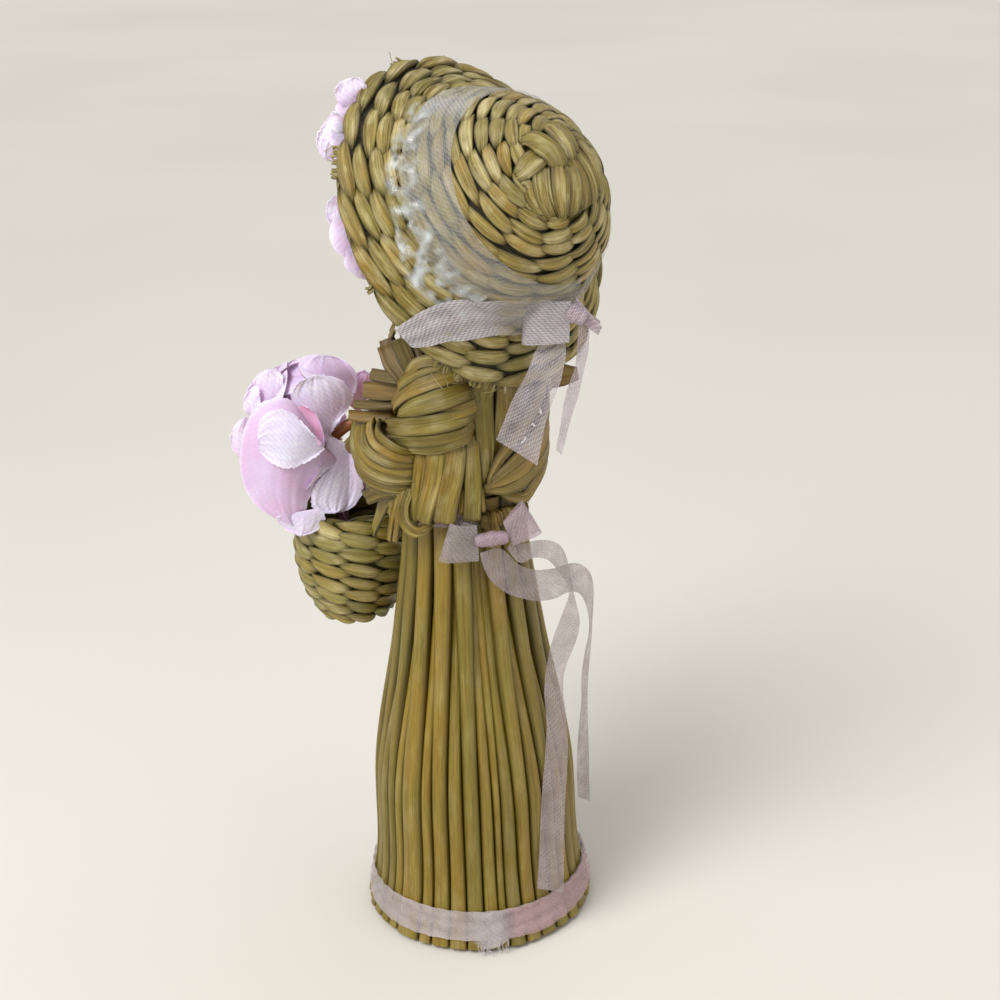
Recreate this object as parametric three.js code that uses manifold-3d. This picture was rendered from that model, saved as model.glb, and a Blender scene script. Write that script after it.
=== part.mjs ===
// A woven straw doll: a fan of stems for the skirt, a bodice of flat wrapped strands, a twined
// bonnet with a ribbon bow, and a small twined basket of cloth flowers held in front.
// Millimetres, +Z up. The origin is on the floor under the middle of the skirt.
// The doll faces -Y, its left side is +X, and the bows are at its back (+Y).

import * as THREE from "three";
import { mergeVertices } from "three/addons/utils/BufferGeometryUtils.js";
import Module from "manifold-3d";

const wasm = await Module();
wasm.setup();

// Clearances
const clearance = 0.3;
const bandClearance = 0.3;

// Skirt
const stemCount = 32;
const stemThickness = 3.6;
const rimRadius = 25;
const hemRadius = 23.4;
const hemHeight = 6;
const kneeRadius = 21.2;
const kneeHeight = 36;
const hipRadius = 15.9;
const hipHeight = 66;
const waistRadius = 12.6;
const skirtTopHeight = 98;
const waistDropHeight = 4;
const waistHeight = skirtTopHeight - waistDropHeight;
const stemTopThinShare = 0.72;
const stemWidthShares = [0, 0.05, -0.05, 0.03, -0.03, 0.06, -0.06, 0.02];

// Ribbons
const ribbonThickness = 0.5;
const waistRibbonWidth = 6.2;
const bonnetRibbonWidth = 9.6;
const hemRibbonBottomHeight = 2.6;
const hemRibbonWidth = 6.8;
const tieThickness = 0.9;
const tieHeight = 3;
const waistKnotRadius = 1.9;
const waistLoopLength = 8.5;
const bonnetKnotRadius = 2.4;
const bonnetLoopLength = 9.5;

// Bodice
const bodyRadius = 13;
const bodiceLength = 33;
const bodiceTop = skirtTopHeight + bodiceLength;
const shoulderDropHeight = 5;
const neckRadius = 6.5;
const strandRiseHeight = 0.75;
const armRadius = 2.1;

// Head and bonnet
const headRadius = 16;
const bonnetTilt = THREE.MathUtils.degToRad(28);
const bonnetBackDepth = 6.3;
const bonnetLiftHeight = 20.6;
const bonnetHeight = bodiceTop + bonnetLiftHeight;
const rimHalfWidth = 31;
const rimHalfHeight = 33.5;
const crownRadius = 22.5;
const crownDepth = 25;
const crownOffset = 2.3;
const junctionOffset = 9;
const weaveThickness = 2.2;
const starRadius = 8;
const crownRows = 8;
const crownStitches = 16;
const brimRows = 5;
const brimStitches = 20;
const stitchHeight = 1;

// Basket
const basketCentreRadius = 29.4;
const basketAngle = THREE.MathUtils.degToRad(-74);
const basketBottomHeight = 63.5;
const basketDepth = 20.5;
const basketMouthRadius = 11.2;
const basketBellyRadius = 11.9;
const basketFloorRadius = 7.2;
const basketRows = 7;
const basketSpokes = 12;
const basketWall = 1.6;
const basketStitchHeight = 0.8;
const handleDiameter = 2.4;
const handleHeight = 19.5;

// Flowers
const petalThickness = 0.8;
const stalkDiameter = 1.4;
const largePetalLength = 19;
const smallPetalRadius = 9;

const colours = {
  straw: 0xa8923f,
  strawDark: 0x8a6f2c,
  reed: 0x9a5a2c,
  ribbon: 0xd8ccd6,
  petal: 0xe9c6da,
  head: 0xc9a877,
};

const group = new THREE.Group();

function makeMaterial(colour, roughness) {
  return new THREE.MeshStandardMaterial({ color: colour, roughness, metalness: 0 });
}

function addPart(name, geometry, colour, roughness = 0.7) {
  const mesh = new THREE.Mesh(geometry, makeMaterial(colour, roughness));
  mesh.name = name;
  group.add(mesh);
  return mesh;
}

// A closed surface from points and triangles, turned so that its faces point outwards
function makeSolid(points, triangles) {
  let volume = 0;
  const cross = new THREE.Vector3();
  for (const [a, b, c] of triangles) {
    volume += points[a].dot(cross.crossVectors(points[b], points[c]));
  }
  const faces = volume < 0 ? triangles.map(([a, b, c]) => [a, c, b]) : triangles;
  const geometry = new THREE.BufferGeometry();
  const positions = points.flatMap((p) => [p.x, p.y, p.z]);
  geometry.setAttribute("position", new THREE.Float32BufferAttribute(positions, 3));
  geometry.setIndex(faces.flat());
  geometry.computeVertexNormals();
  return geometry;
}

// A solid through closed rings of points, with a fan over each end ring
function ringSolid(rings) {
  const sides = rings[0].length;
  const points = rings.flat();
  const triangles = [];
  for (let i = 0; i + 1 < rings.length; i += 1) {
    for (let j = 0; j < sides; j += 1) {
      const k = (j + 1) % sides;
      const low = i * sides;
      const high = low + sides;
      triangles.push([low + j, low + k, high + k], [low + j, high + k, high + j]);
    }
  }
  for (const end of [0, rings.length - 1]) {
    const centre = new THREE.Vector3();
    rings[end].forEach((p) => centre.addScaledVector(p, 1 / sides));
    points.push(centre);
    for (let j = 0; j < sides; j += 1) {
      const k = (j + 1) % sides;
      const edge = [end * sides + j, end * sides + k];
      triangles.push(end === 0 ? [points.length - 1, edge[1], edge[0]] : [points.length - 1, ...edge]);
    }
  }
  return makeSolid(points, triangles);
}

// A shell between two grids of points, closed along its edges. A wrapped grid joins its last
// column to its first.
function shellSolid(outer, inner, wrapped) {
  const rows = outer.length;
  const columns = outer[0].length;
  const points = [...outer.flat(), ...inner.flat()];
  const offset = rows * columns;
  const triangles = [];
  const quad = (a, b, c, d) => triangles.push([a, b, c], [a, c, d]);
  const lastColumn = wrapped ? columns : columns - 1;
  for (let j = 0; j < lastColumn; j += 1) {
    const k = (j + 1) % columns;
    for (let i = 0; i + 1 < rows; i += 1) {
      const a = i * columns + j;
      const b = i * columns + k;
      quad(a, b, b + columns, a + columns);
      quad(offset + a, offset + a + columns, offset + b + columns, offset + b);
    }
    const top = (rows - 1) * columns;
    quad(j, offset + j, offset + k, k);
    quad(top + k, offset + top + k, offset + top + j, top + j);
  }
  if (!wrapped) {
    for (let i = 0; i + 1 < rows; i += 1) {
      const first = i * columns;
      const last = first + columns - 1;
      quad(first, first + columns, offset + first + columns, offset + first);
      quad(last, offset + last, offset + last + columns, last + columns);
    }
  }
  return makeSolid(points, triangles);
}

// Manifold solids, for joins and cuts
function toManifold(geometry) {
  const bare = geometry.clone();
  bare.deleteAttribute("normal");
  bare.deleteAttribute("uv");
  const merged = mergeVertices(bare, clearance / 1000);
  const vertProperties = new Float32Array(merged.attributes.position.array);
  const triVerts = new Uint32Array(merged.index.array);
  return new wasm.Manifold(new wasm.Mesh({ numProp: 3, vertProperties, triVerts }));
}

function fromManifold(solid) {
  const mesh = solid.getMesh();
  const geometry = new THREE.BufferGeometry();
  geometry.setAttribute("position", new THREE.Float32BufferAttribute(mesh.vertProperties, 3));
  geometry.setIndex(Array.from(mesh.triVerts));
  geometry.computeVertexNormals();
  return geometry;
}

// Edges shorter than this share of the clearance are drawn together after a join
const slackShare = 0.1;

// Only the main body is kept, without the crumbs that crossing surfaces leave
function join(geometries) {
  const whole = geometries.map(toManifold).reduce((joined, next) => joined.add(next));
  const bodies = whole.simplify(clearance * slackShare).decompose();
  return fromManifold(bodies.reduce((main, body) => (body.volume() > main.volume() ? body : main)));
}

function cut(geometry, tools) {
  const whole = toManifold(geometry);
  return fromManifold(tools.map(toManifold).reduce((left, next) => left.subtract(next), whole));
}

function polar(radius, angle, height) {
  return new THREE.Vector3(radius * Math.cos(angle), radius * Math.sin(angle), height);
}

function lathe(profile, segments) {
  const points = profile.map(([radius, height]) => new THREE.Vector2(radius, height));
  return new THREE.LatheGeometry(points, segments).rotateX(Math.PI / 2);
}

// Skirt

const skirtCurve = new THREE.CatmullRomCurve3(
  [
    [rimRadius, 0],
    [hemRadius, hemHeight],
    [kneeRadius, kneeHeight],
    [hipRadius, hipHeight],
    [waistRadius, waistHeight],
    [waistRadius, skirtTopHeight],
  ].map(([radius, height]) => new THREE.Vector3(radius, 0, height)),
);
const skirtOutline = skirtCurve.getPoints(80);

function skirtRadius(height) {
  const next = skirtOutline.findIndex((p) => p.z >= height);
  if (next <= 0) return skirtOutline[next < 0 ? skirtOutline.length - 1 : 0].x;
  const [a, b] = [skirtOutline[next - 1], skirtOutline[next]];
  return THREE.MathUtils.lerp(a.x, b.x, (height - a.z) / (b.z - a.z));
}

function stemThicknessAt(height) {
  return stemThickness * THREE.MathUtils.lerp(1, stemTopThinShare, height / skirtTopHeight);
}

const hemRibbonTop = hemRibbonBottomHeight + hemRibbonWidth;
const stemHeights = [
  0, hemRibbonBottomHeight, hemRibbonTop, kneeHeight, hipHeight, waistHeight, skirtTopHeight,
];

function stemEdgeAngle(index) {
  const share = stemWidthShares[index % stemWidthShares.length];
  return ((index + share * 2) / stemCount) * 2 * Math.PI;
}

function stem(index) {
  const sides = 8;
  const from = stemEdgeAngle(index);
  const to = stemEdgeAngle(index + 1);
  const rings = stemHeights.map((height) => {
    const depth = stemThicknessAt(height) / 2;
    const radius = skirtRadius(height) - depth;
    const halfWidth = radius * Math.sin((to - from) / 2) - clearance / 2;
    const middle = polar(radius, (from + to) / 2, height);
    const out = polar(1, (from + to) / 2, 0);
    const along = polar(1, (from + to) / 2 + Math.PI / 2, 0);
    return Array.from({ length: sides }, (_, k) => {
      const turn = ((k + 0.5) / sides) * 2 * Math.PI;
      return middle
        .clone()
        .addScaledVector(out, depth * Math.cos(turn))
        .addScaledVector(along, halfWidth * Math.sin(turn));
    });
  });
  return ringSolid(rings);
}

for (let i = 0; i < stemCount; i += 1) {
  addPart(`skirt_stem_${String(i + 1).padStart(2, "0")}`, stem(i), colours.straw, 0.55);
}

function coreRadius(height) {
  return skirtRadius(height) - stemThicknessAt(height) - clearance;
}

const coreProfile = stemHeights.map((height) => [coreRadius(height), height]);
addPart("skirt_core", lathe([[0, 0], ...coreProfile, [0, skirtTopHeight]], stemCount), colours.strawDark);

// Bands round the skirt

function bandShell(bottom, height, thickness, radiusAt, segments) {
  const levels = [bottom, bottom + height];
  const grid = (extra) =>
    levels.map((level) =>
      Array.from({ length: segments }, (_, j) => {
        return polar(radiusAt(level) + extra, (j / segments) * 2 * Math.PI, level);
      }),
    );
  const facetSag = 1 / Math.cos(Math.PI / segments);
  const gap = bandClearance + skirtRadius(bottom) * (facetSag - 1);
  return shellSolid(grid(gap + thickness), grid(gap), true);
}

addPart(
  "hem_ribbon",
  bandShell(hemRibbonBottomHeight, hemRibbonWidth, ribbonThickness, skirtRadius, 36),
  colours.ribbon,
);
addPart(
  "waist_tie",
  bandShell(waistHeight - clearance, tieHeight, tieThickness, () => waistRadius, 28),
  colours.ribbon,
);

// Bonnet frame: an axis that points back and up, through the middle of the rim

const bonnetAxis = new THREE.Vector3(0, Math.cos(bonnetTilt), Math.sin(bonnetTilt));
const bonnetUp = new THREE.Vector3(0, -Math.sin(bonnetTilt), Math.cos(bonnetTilt));
const rimCentre = new THREE.Vector3(0, bonnetBackDepth, bonnetHeight);

function bonnetPoint(axial, radial, angle, stretch = 1) {
  return rimCentre
    .clone()
    .addScaledVector(bonnetAxis, axial)
    .addScaledVector(bonnetUp, radial * stretch * Math.sin(angle))
    .add(new THREE.Vector3(radial * Math.cos(angle), 0, 0));
}

// Crown profile as (axial, radial) over an angle that is 0 at the pole
function crownProfile(angle, inset = 0) {
  const radius = crownRadius - inset;
  const depth = crownDepth - inset;
  return [crownOffset + depth * Math.cos(angle), radius * Math.sin(angle)];
}

const junctionAngle = Math.acos((junctionOffset - crownOffset) / crownDepth);
const starAngle = Math.asin(starRadius / crownRadius);
const [, junctionRadius] = crownProfile(junctionAngle);

// Twined rows: every stitch is a bead, skewed along its row, that rises from the seams
const rowSteps = 2;
const stitchSteps = 2;

function beadRise(rowShare, stitchShare) {
  const acrossRow = Math.sin(Math.PI * rowShare);
  const alongRow = Math.sin(Math.PI * stitchShare);
  return stitchHeight * (0.45 * acrossRow + 0.55 * acrossRow * alongRow);
}

function twinedGrid(rows, stitches, pointAt) {
  const steps = rows * rowSteps;
  const columns = stitches * stitchSteps;
  return Array.from({ length: steps + 1 }, (_, i) =>
    Array.from({ length: columns }, (_, j) => {
      const skew = (0.5 * i) / rowSteps;
      const angle = ((j / stitchSteps + skew) / stitches) * 2 * Math.PI;
      const rise = beadRise((i % rowSteps) / rowSteps, (j % stitchSteps) / stitchSteps);
      return pointAt(i / steps, angle, rise);
    }),
  );
}

function crownSolid() {
  const columns = crownStitches * stitchSteps;
  const seam = clearance / 2;
  const lastAngle = junctionAngle - seam / crownRadius;
  const outer = twinedGrid(crownRows, crownStitches, (share, angle, rise) => {
    const [axial, radial] = crownProfile(THREE.MathUtils.lerp(starAngle, lastAngle, share), -rise);
    return bonnetPoint(axial, radial, angle);
  });
  const starRings = [0.33, 0.67].map((share) =>
    Array.from({ length: columns }, (_, j) => {
      const rise = 0.5 * stitchHeight * (1 + Math.cos((j / columns) * 16 * Math.PI));
      const [axial, radial] = crownProfile(starAngle * share, -rise);
      return bonnetPoint(axial, radial, (j / columns) * 2 * Math.PI);
    }),
  );
  const inner = [1, 0.75, 0.4].map((share) =>
    Array.from({ length: columns }, (_, j) => {
      const skew = (0.5 * crownRows) / crownStitches;
      const [axial, radial] = crownProfile(lastAngle * share, weaveThickness);
      return bonnetPoint(axial, radial, (j / columns + skew) * 2 * Math.PI);
    }),
  );
  return ringSolid([...starRings, ...outer, ...inner]);
}

function brimRing(share) {
  const flare = share * share * 0.35 + share * 0.65;
  return {
    axial: THREE.MathUtils.lerp(junctionOffset - clearance / 2, 0, share),
    radial: THREE.MathUtils.lerp(junctionRadius, rimHalfWidth, flare),
    stretch: THREE.MathUtils.lerp(1, rimHalfHeight / rimHalfWidth, share),
  };
}

const brimSlope = Math.atan2(junctionOffset, rimHalfWidth - junctionRadius);

function brimSolid() {
  const surface = (depth) => (share, angle, rise) => {
    const { axial, radial, stretch } = brimRing(share);
    const lift = rise - depth;
    const forward = lift * Math.cos(brimSlope);
    const outward = lift * Math.sin(brimSlope);
    return bonnetPoint(axial + forward, radial + outward, angle, stretch);
  };
  const outer = twinedGrid(brimRows, brimStitches, surface(0));
  const inner = twinedGrid(brimRows, brimStitches, (share, angle, rise) =>
    surface(weaveThickness)(share, angle, -rise / 2),
  ).filter((_, i) => i % (2 * rowSteps) === 0 || i === brimRows * rowSteps);
  return ringTube([...outer, ...inner.reverse()]);
}

// A closed tube of rings whose last ring joins its first, such as a wall round an opening
function ringTube(rings) {
  const sides = rings[0].length;
  const points = rings.flat();
  const triangles = [];
  for (let i = 0; i < rings.length; i += 1) {
    for (let j = 0; j < sides; j += 1) {
      const k = (j + 1) % sides;
      const low = i * sides;
      const high = ((i + 1) % rings.length) * sides;
      triangles.push([low + j, low + k, high + k], [low + j, high + k, high + j]);
    }
  }
  return makeSolid(points, triangles);
}

addPart("bonnet_crown", crownSolid(), colours.straw);
addPart("bonnet_brim", brimSolid(), colours.straw);

// Ribbon band on the crown, above the junction
const bandSegments = 32;
const bandArc = bonnetRibbonWidth / crownRadius;

function bandRing(share, extra) {
  const angle = junctionAngle - bandArc * (1 - share) - clearance / crownRadius;
  const sag = crownRadius * (1 / Math.cos(Math.PI / bandSegments) - 1);
  const [axial, radial] = crownProfile(angle, -(stitchHeight + bandClearance + sag + extra));
  return Array.from({ length: bandSegments }, (_, j) => {
    return bonnetPoint(axial, radial, (j / bandSegments) * 2 * Math.PI);
  });
}

addPart(
  "bonnet_band",
  shellSolid(
    [0, 0.5, 1].map((share) => bandRing(share, ribbonThickness)),
    [0, 0.5, 1].map((share) => bandRing(share, 0)),
    true,
  ),
  colours.ribbon,
);

// Head: a plain ball, seated under the roof of the crown
const headDepth = crownRadius - weaveThickness - headRadius - clearance;
const headCentre = bonnetPoint(crownOffset, headDepth, Math.PI / 2);
const headBall = (radius) =>
  new THREE.SphereGeometry(radius, 20, 12)
    .rotateX(Math.PI / 2)
    .translate(headCentre.x, headCentre.y, headCentre.z);
addPart("head", headBall(headRadius), colours.head, 0.6);

// Bodice core and neck
const bodiceBottom = skirtTopHeight + clearance;
const neckTop = headCentre.z - headRadius / 2;
const torsoProfile = [
  [0, bodiceBottom],
  [bodyRadius, bodiceBottom],
  [bodyRadius, bodiceTop - shoulderDropHeight],
  [neckRadius + (bodyRadius - neckRadius) * 0.6, bodiceTop - shoulderDropHeight * 0.4],
  [neckRadius, bodiceTop],
  [neckRadius, neckTop],
  [0, neckTop],
];
addPart("torso_core", cut(lathe(torsoProfile, 28), [headBall(headRadius + clearance)]), colours.strawDark);

// Bodice wraps: patches of flat strands laid over the core. A guide is a list of places as
// [angle in degrees, share of the bodice's height, share of the body's radius].
const bodiceHeight = bodiceTop - waistHeight;

function guideCurve(shares) {
  const points = shares.map(([angle, height, radius]) =>
    new THREE.Vector3(
      THREE.MathUtils.degToRad(angle),
      waistHeight + height * bodiceHeight,
      radius * bodyRadius,
    ),
  );
  return new THREE.CatmullRomCurve3(points, false, "centripetal");
}

// The strands run from the start of both guides to their end, side by side from guide to guide
function strandPatch({ firstShares, lastShares, strands, steps, innerRadius, bulgeShare = 0 }) {
  const first = guideCurve(firstShares);
  const last = guideCurve(lastShares);
  const acrossSteps = strands * 2;
  const outer = [];
  const inner = [];
  for (let i = 0; i <= steps; i += 1) {
    const a = first.getPoint(i / steps);
    const b = last.getPoint(i / steps);
    const outerRow = [];
    const innerRow = [];
    for (let j = 0; j <= acrossSteps; j += 1) {
      const share = j / acrossSteps;
      const place = a.clone().lerp(b, share);
      const rise = j % 2 === 1 ? strandRiseHeight : 0;
      const swell = bulgeShare * bodyRadius * Math.sin(Math.PI * share);
      outerRow.push(polar(place.z + rise + swell, place.x, place.y));
      innerRow.push(polar(innerRadius, place.x, place.y));
    }
    outer.push(outerRow);
    inner.push(innerRow);
  }
  return shellSolid(outer, inner, false);
}

const mirrorShares = (shares) => shares.map(([angle, height, radius]) => [180 - angle, height, radius]);
const wrapInner = bodyRadius + clearance;
const skirtedInner = waistRadius + bandClearance * 2 + tieThickness + clearance;

const sleeve = {
  firstShares: [[56, 0.9, 1.12], [36, 0.99, 1.2], [12, 0.9, 1.28], [-12, 0.655, 1.3]],
  lastShares: [[56, 0.56, 1.14], [35, 0.42, 1.26], [8, 0.43, 1.34], [-12, 0.53, 1.32]],
  strands: 6,
  steps: 7,
  innerRadius: wrapInner,
  bulgeShare: 0.1,
};
addPart("sleeve_left", strandPatch(sleeve), colours.straw);

const elbow = {
  firstShares: [[12, 0.4, 1.2], [-3, 0.38, 1.3], [-14, 0.42, 1.38], [-24, 0.5, 1.42], [-29, 0.6, 1.4]],
  lastShares: [[12, 0.22, 1.2], [-9, 0.2, 1.42], [-25, 0.28, 1.52], [-36, 0.4, 1.56], [-44, 0.53, 1.52]],
  strands: 4,
  steps: 7,
  innerRadius: wrapInner,
  bulgeShare: 0.06,
};
addPart(
  "arm_right",
  strandPatch({
    ...elbow,
    firstShares: mirrorShares(elbow.firstShares),
    lastShares: mirrorShares(elbow.lastShares),
  }),
  colours.straw,
);

addPart(
  "back_strands",
  strandPatch({
    firstShares: [[58.5, 0.86, 1.1], [60, 0.6, 1.14], [62.5, 0.26, 1.16]],
    lastShares: [[95, 0.86, 1.1], [82, 0.6, 1.14], [68, 0.26, 1.16]],
    strands: 2,
    steps: 4,
    innerRadius: wrapInner,
  }),
  colours.straw,
);
addPart(
  "wrap_right",
  strandPatch({
    firstShares: [
      [71, 0.27, 1.12], [92, 0.5, 1.16], [125, 0.72, 1.22], [160, 0.76, 1.26], [192, 0.7, 1.26],
    ],
    lastShares: [
      [64, 0.2, 1.12], [92, 0.08, 1.14], [122, 0.09, 1.18], [150, 0.24, 1.22], [167, 0.41, 1.24],
    ],
    strands: 6,
    steps: 8,
    innerRadius: skirtedInner,
    bulgeShare: 0.08,
  }),
  colours.straw,
);

// Peplum: strands that hang over the waist and flare outwards
function peplum(fromAngle, toAngle, topShare, bottomShare, topRadiusShare, bottomRadiusShare, strands) {
  const guide = (angle) => [
    [angle, topShare, topRadiusShare],
    [angle, (topShare + bottomShare) / 2, (topRadiusShare + bottomRadiusShare) / 2 + 0.04],
    [angle, bottomShare, bottomRadiusShare],
  ];
  return strandPatch({
    firstShares: guide(fromAngle),
    lastShares: guide(toAngle),
    strands,
    steps: 3,
    innerRadius: skirtedInner,
  });
}

addPart("peplum_left", peplum(14, 57.5, 0.4, 0.04, 1.16, 1.26, 5), colours.straw);
addPart("peplum_side", peplum(-16, 12, 0.18, -0.02, 1.22, 1.36, 4), colours.straw);
addPart("peplum_right", peplum(155, 200, 0.18, -0.02, 1.22, 1.34, 5), colours.straw);
addPart("peplum_back", peplum(60, 104, 0.05, -0.04, 1.12, 1.14, 6), colours.strawDark);

// Front of the bodice: upright strands between the arms
addPart(
  "bodice_front",
  strandPatch({
    firstShares: [[-131, 0.82, 1.1], [-131, 0.4, 1.16], [-131, 0.06, 1.16]],
    lastShares: [[-52, 0.82, 1.1], [-52, 0.4, 1.16], [-52, 0.06, 1.16]],
    strands: 7,
    steps: 3,
    innerRadius: skirtedInner,
  }),
  colours.straw,
);

// Collar: fans of pleated strand ends that stand out over each shoulder
const collar = {
  firstShares: [[30, 1.12, 1.02], [8, 1.06, 1.24], [-8, 0.84, 1.42], [-18, 0.66, 1.62]],
  lastShares: [[-2, 1.02, 0.9], [-24, 0.96, 1.05], [-36, 0.78, 1.22], [-42, 0.63, 1.4]],
};

function collarFan(shares) {
  const outer = [];
  const inner = [];
  const first = guideCurve(shares.firstShares);
  const last = guideCurve(shares.lastShares);
  const pleats = 6;
  const steps = pleats * 2;
  for (let i = 0; i <= steps; i += 1) {
    const a = first.getPoint(i / steps);
    const b = last.getPoint(i / steps);
    const ridge = i % 2 === 1 ? strandRiseHeight : 0;
    const outerRow = [];
    const innerRow = [];
    for (let j = 0; j <= 3; j += 1) {
      const place = a.clone().lerp(b, j / 3);
      outerRow.push(polar(place.z + ridge, place.x, place.y + ridge));
      innerRow.push(polar(place.z - strandRiseHeight * 2, place.x, place.y - strandRiseHeight));
    }
    outer.push(outerRow);
    inner.push(innerRow);
  }
  return shellSolid(outer, inner, false);
}

addPart("collar_left", collarFan(collar), colours.straw);
addPart(
  "collar_right",
  collarFan({ firstShares: mirrorShares(collar.firstShares), lastShares: mirrorShares(collar.lastShares) }),
  colours.straw,
);

// Sweeps

// A thin ribbon along a path: each place is a point and the direction of the ribbon's width
function ribbon(places, width, thickness = ribbonThickness) {
  const points = places.map(({ point }) => point);
  const rings = places.map(({ point, across, spread = 1 }, i) => {
    const before = points[Math.max(i - 1, 0)];
    const after = points[Math.min(i + 1, points.length - 1)];
    const along = after.clone().sub(before).normalize();
    const side = across.clone().addScaledVector(along, -across.dot(along)).normalize();
    const face = along.clone().cross(side);
    const corner = (a, b) =>
      point
        .clone()
        .addScaledVector(side, (a * width * spread) / 2)
        .addScaledVector(face, (b * thickness) / 2);
    return [corner(-1, -1), corner(1, -1), corner(1, 1), corner(-1, 1)];
  });
  return ringSolid(rings);
}

function ribbonAlong(points, widths, width, steps) {
  const path = new THREE.CatmullRomCurve3(points, false, "centripetal");
  const turn = new THREE.CatmullRomCurve3(widths, false, "centripetal");
  const places = Array.from({ length: steps + 1 }, (_, i) => ({
    point: path.getPoint(i / steps),
    across: turn.getPoint(i / steps),
  }));
  return ribbon(places, width);
}

// A ribbon whose flat side is turned to facing, with a twist in degrees at each of its points.
// It starts gathered, as it leaves its knot.
const gatherShare = 0.4;
const gatherSteps = 3;

function facingRibbon(points, facing, twists, width, steps) {
  const path = new THREE.CatmullRomCurve3(points, false, "centripetal");
  const twistAt = (share) => {
    const place = share * (twists.length - 1);
    const from = Math.min(Math.floor(place), twists.length - 2);
    return THREE.MathUtils.degToRad(THREE.MathUtils.lerp(twists[from], twists[from + 1], place - from));
  };
  const places = Array.from({ length: steps + 1 }, (_, i) => {
    const tangent = path.getTangent(i / steps);
    const across = facing.clone().cross(tangent).normalize().applyAxisAngle(tangent, twistAt(i / steps));
    const spread = THREE.MathUtils.lerp(gatherShare, 1, Math.min(1, i / gatherSteps));
    return { point: path.getPoint(i / steps), across, spread };
  });
  return ribbon(places, width);
}

function roundRod(points, diameter, steps) {
  const path = new THREE.CatmullRomCurve3(points, false, "centripetal");
  const shape = new THREE.Shape();
  shape.absarc(0, 0, diameter / 2, 0, 2 * Math.PI, false);
  const options = { steps, extrudePath: path, bevelEnabled: false, curveSegments: 4 };
  return new THREE.ExtrudeGeometry(shape, options);
}

// Basket: a twined cup that stands off the front of the skirt
const basketCentre = polar(basketCentreRadius, basketAngle, 0);
const basketTop = basketBottomHeight + basketDepth;

function basketRadius(share) {
  const belly = Math.sin(Math.PI * Math.min(1, share * 1.15)) * (basketBellyRadius - basketMouthRadius) * 2;
  const floor = (basketMouthRadius - basketFloorRadius) * Math.pow(1 - share, 2.6);
  return basketMouthRadius + belly - floor;
}

function basketPoint(radius, angle, height) {
  return polar(radius, angle, height).add(basketCentre);
}

function basketSolid() {
  const columns = basketSpokes * 2;
  const steps = basketRows * 2;
  const ring = (radiusAt, height) =>
    Array.from({ length: columns }, (_, j) => basketPoint(radiusAt(j), (j / columns) * 2 * Math.PI, height));
  const outer = Array.from({ length: steps + 1 }, (_, i) => {
    const share = i / steps;
    const row = Math.floor(i / 2);
    const middle = i % 2 === 1 ? basketStitchHeight / 2 : 0;
    const bead = (j) => middle + (i % 2 === 1 && (j + row) % 2 === 0 ? basketStitchHeight : 0);
    return ring((j) => basketRadius(share) + bead(j), basketBottomHeight + share * basketDepth);
  });
  const inner = [1, 0.6, 0.25, basketWall / basketDepth].map((share) =>
    ring(() => basketRadius(share) - basketWall, basketBottomHeight + share * basketDepth),
  );
  return ringSolid([...outer, ...inner]);
}

addPart("basket_body", basketSolid(), colours.straw);

// Handle: a round reed arch whose feet stand on the rim
const handleAcross = new THREE.Vector3(Math.SQRT1_2, -Math.SQRT1_2, 0);
const handleHalfSpan = basketMouthRadius - basketWall / 2;
const handleFoot = basketTop + clearance;

function handlePoint(angle) {
  return basketCentre
    .clone()
    .addScaledVector(handleAcross, handleHalfSpan * Math.cos(angle))
    .add(new THREE.Vector3(0, 0, handleFoot + handleHeight * Math.sin(angle)));
}

const handlePath = Array.from({ length: 9 }, (_, i) => handlePoint((i / 8) * Math.PI));
addPart("basket_handle", roundRod(handlePath, handleDiameter, 16), colours.reed, 0.4);

// Left arm: the elbow's strands, and a bundle from them to the handle, which rests on it
const handUnder = handleFoot + handleHeight - handleDiameter / 2 - clearance - armRadius;
const handPlace = basketCentre.clone().setLength(basketCentre.length() - armRadius).setZ(handUnder);

function taperedBundle(points, radii, sides, steps) {
  const path = new THREE.CatmullRomCurve3(points, false, "centripetal");
  const frames = path.computeFrenetFrames(steps, false);
  const rings = Array.from({ length: steps + 1 }, (_, i) => {
    const share = i / steps;
    const radius = THREE.MathUtils.lerp(radii[0], radii[1], share);
    return Array.from({ length: sides }, (_, j) => {
      const turn = (j / sides) * 2 * Math.PI;
      const ridged = radius * (j % 2 === 0 ? 1 : 0.86);
      return path
        .getPoint(share)
        .addScaledVector(frames.normals[i], ridged * Math.cos(turn))
        .addScaledVector(frames.binormals[i], ridged * Math.sin(turn));
    });
  });
  return ringSolid(rings);
}

const elbowInsideHeight = waistHeight + bodiceHeight * 0.48;
const elbowInside = polar(bodyRadius * 1.26, THREE.MathUtils.degToRad(-36), elbowInsideHeight);
const forearm = taperedBundle(
  [elbowInside, elbowInside.clone().lerp(handPlace, 0.5), handPlace],
  [armRadius * 1.35, armRadius],
  12,
  5,
);
const handleGroove = roundRod(handlePath, handleDiameter + clearance * 2, 16);
addPart("arm_left", cut(join([strandPatch(elbow), forearm]), [handleGroove]), colours.straw);

// Bows: folded loops joined at a knot, and the tails that hang from it

function ribbonLoop(start, tip, across, width, gape) {
  const middle = start.clone().lerp(tip, 0.55);
  const face = tip.clone().sub(start).normalize().cross(across).normalize();
  const up = middle.clone().addScaledVector(face, gape);
  const down = middle.clone().addScaledVector(face, -gape);
  const root = start.clone().lerp(tip, 0.06);
  const nearUp = root.clone().addScaledVector(face, gape / 3);
  const nearDown = root.clone().addScaledVector(face, -gape / 3);
  const corners = [nearUp, up, tip, down, nearDown];
  return ribbonAlong(corners, corners.map(() => across), width, 10);
}

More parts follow.
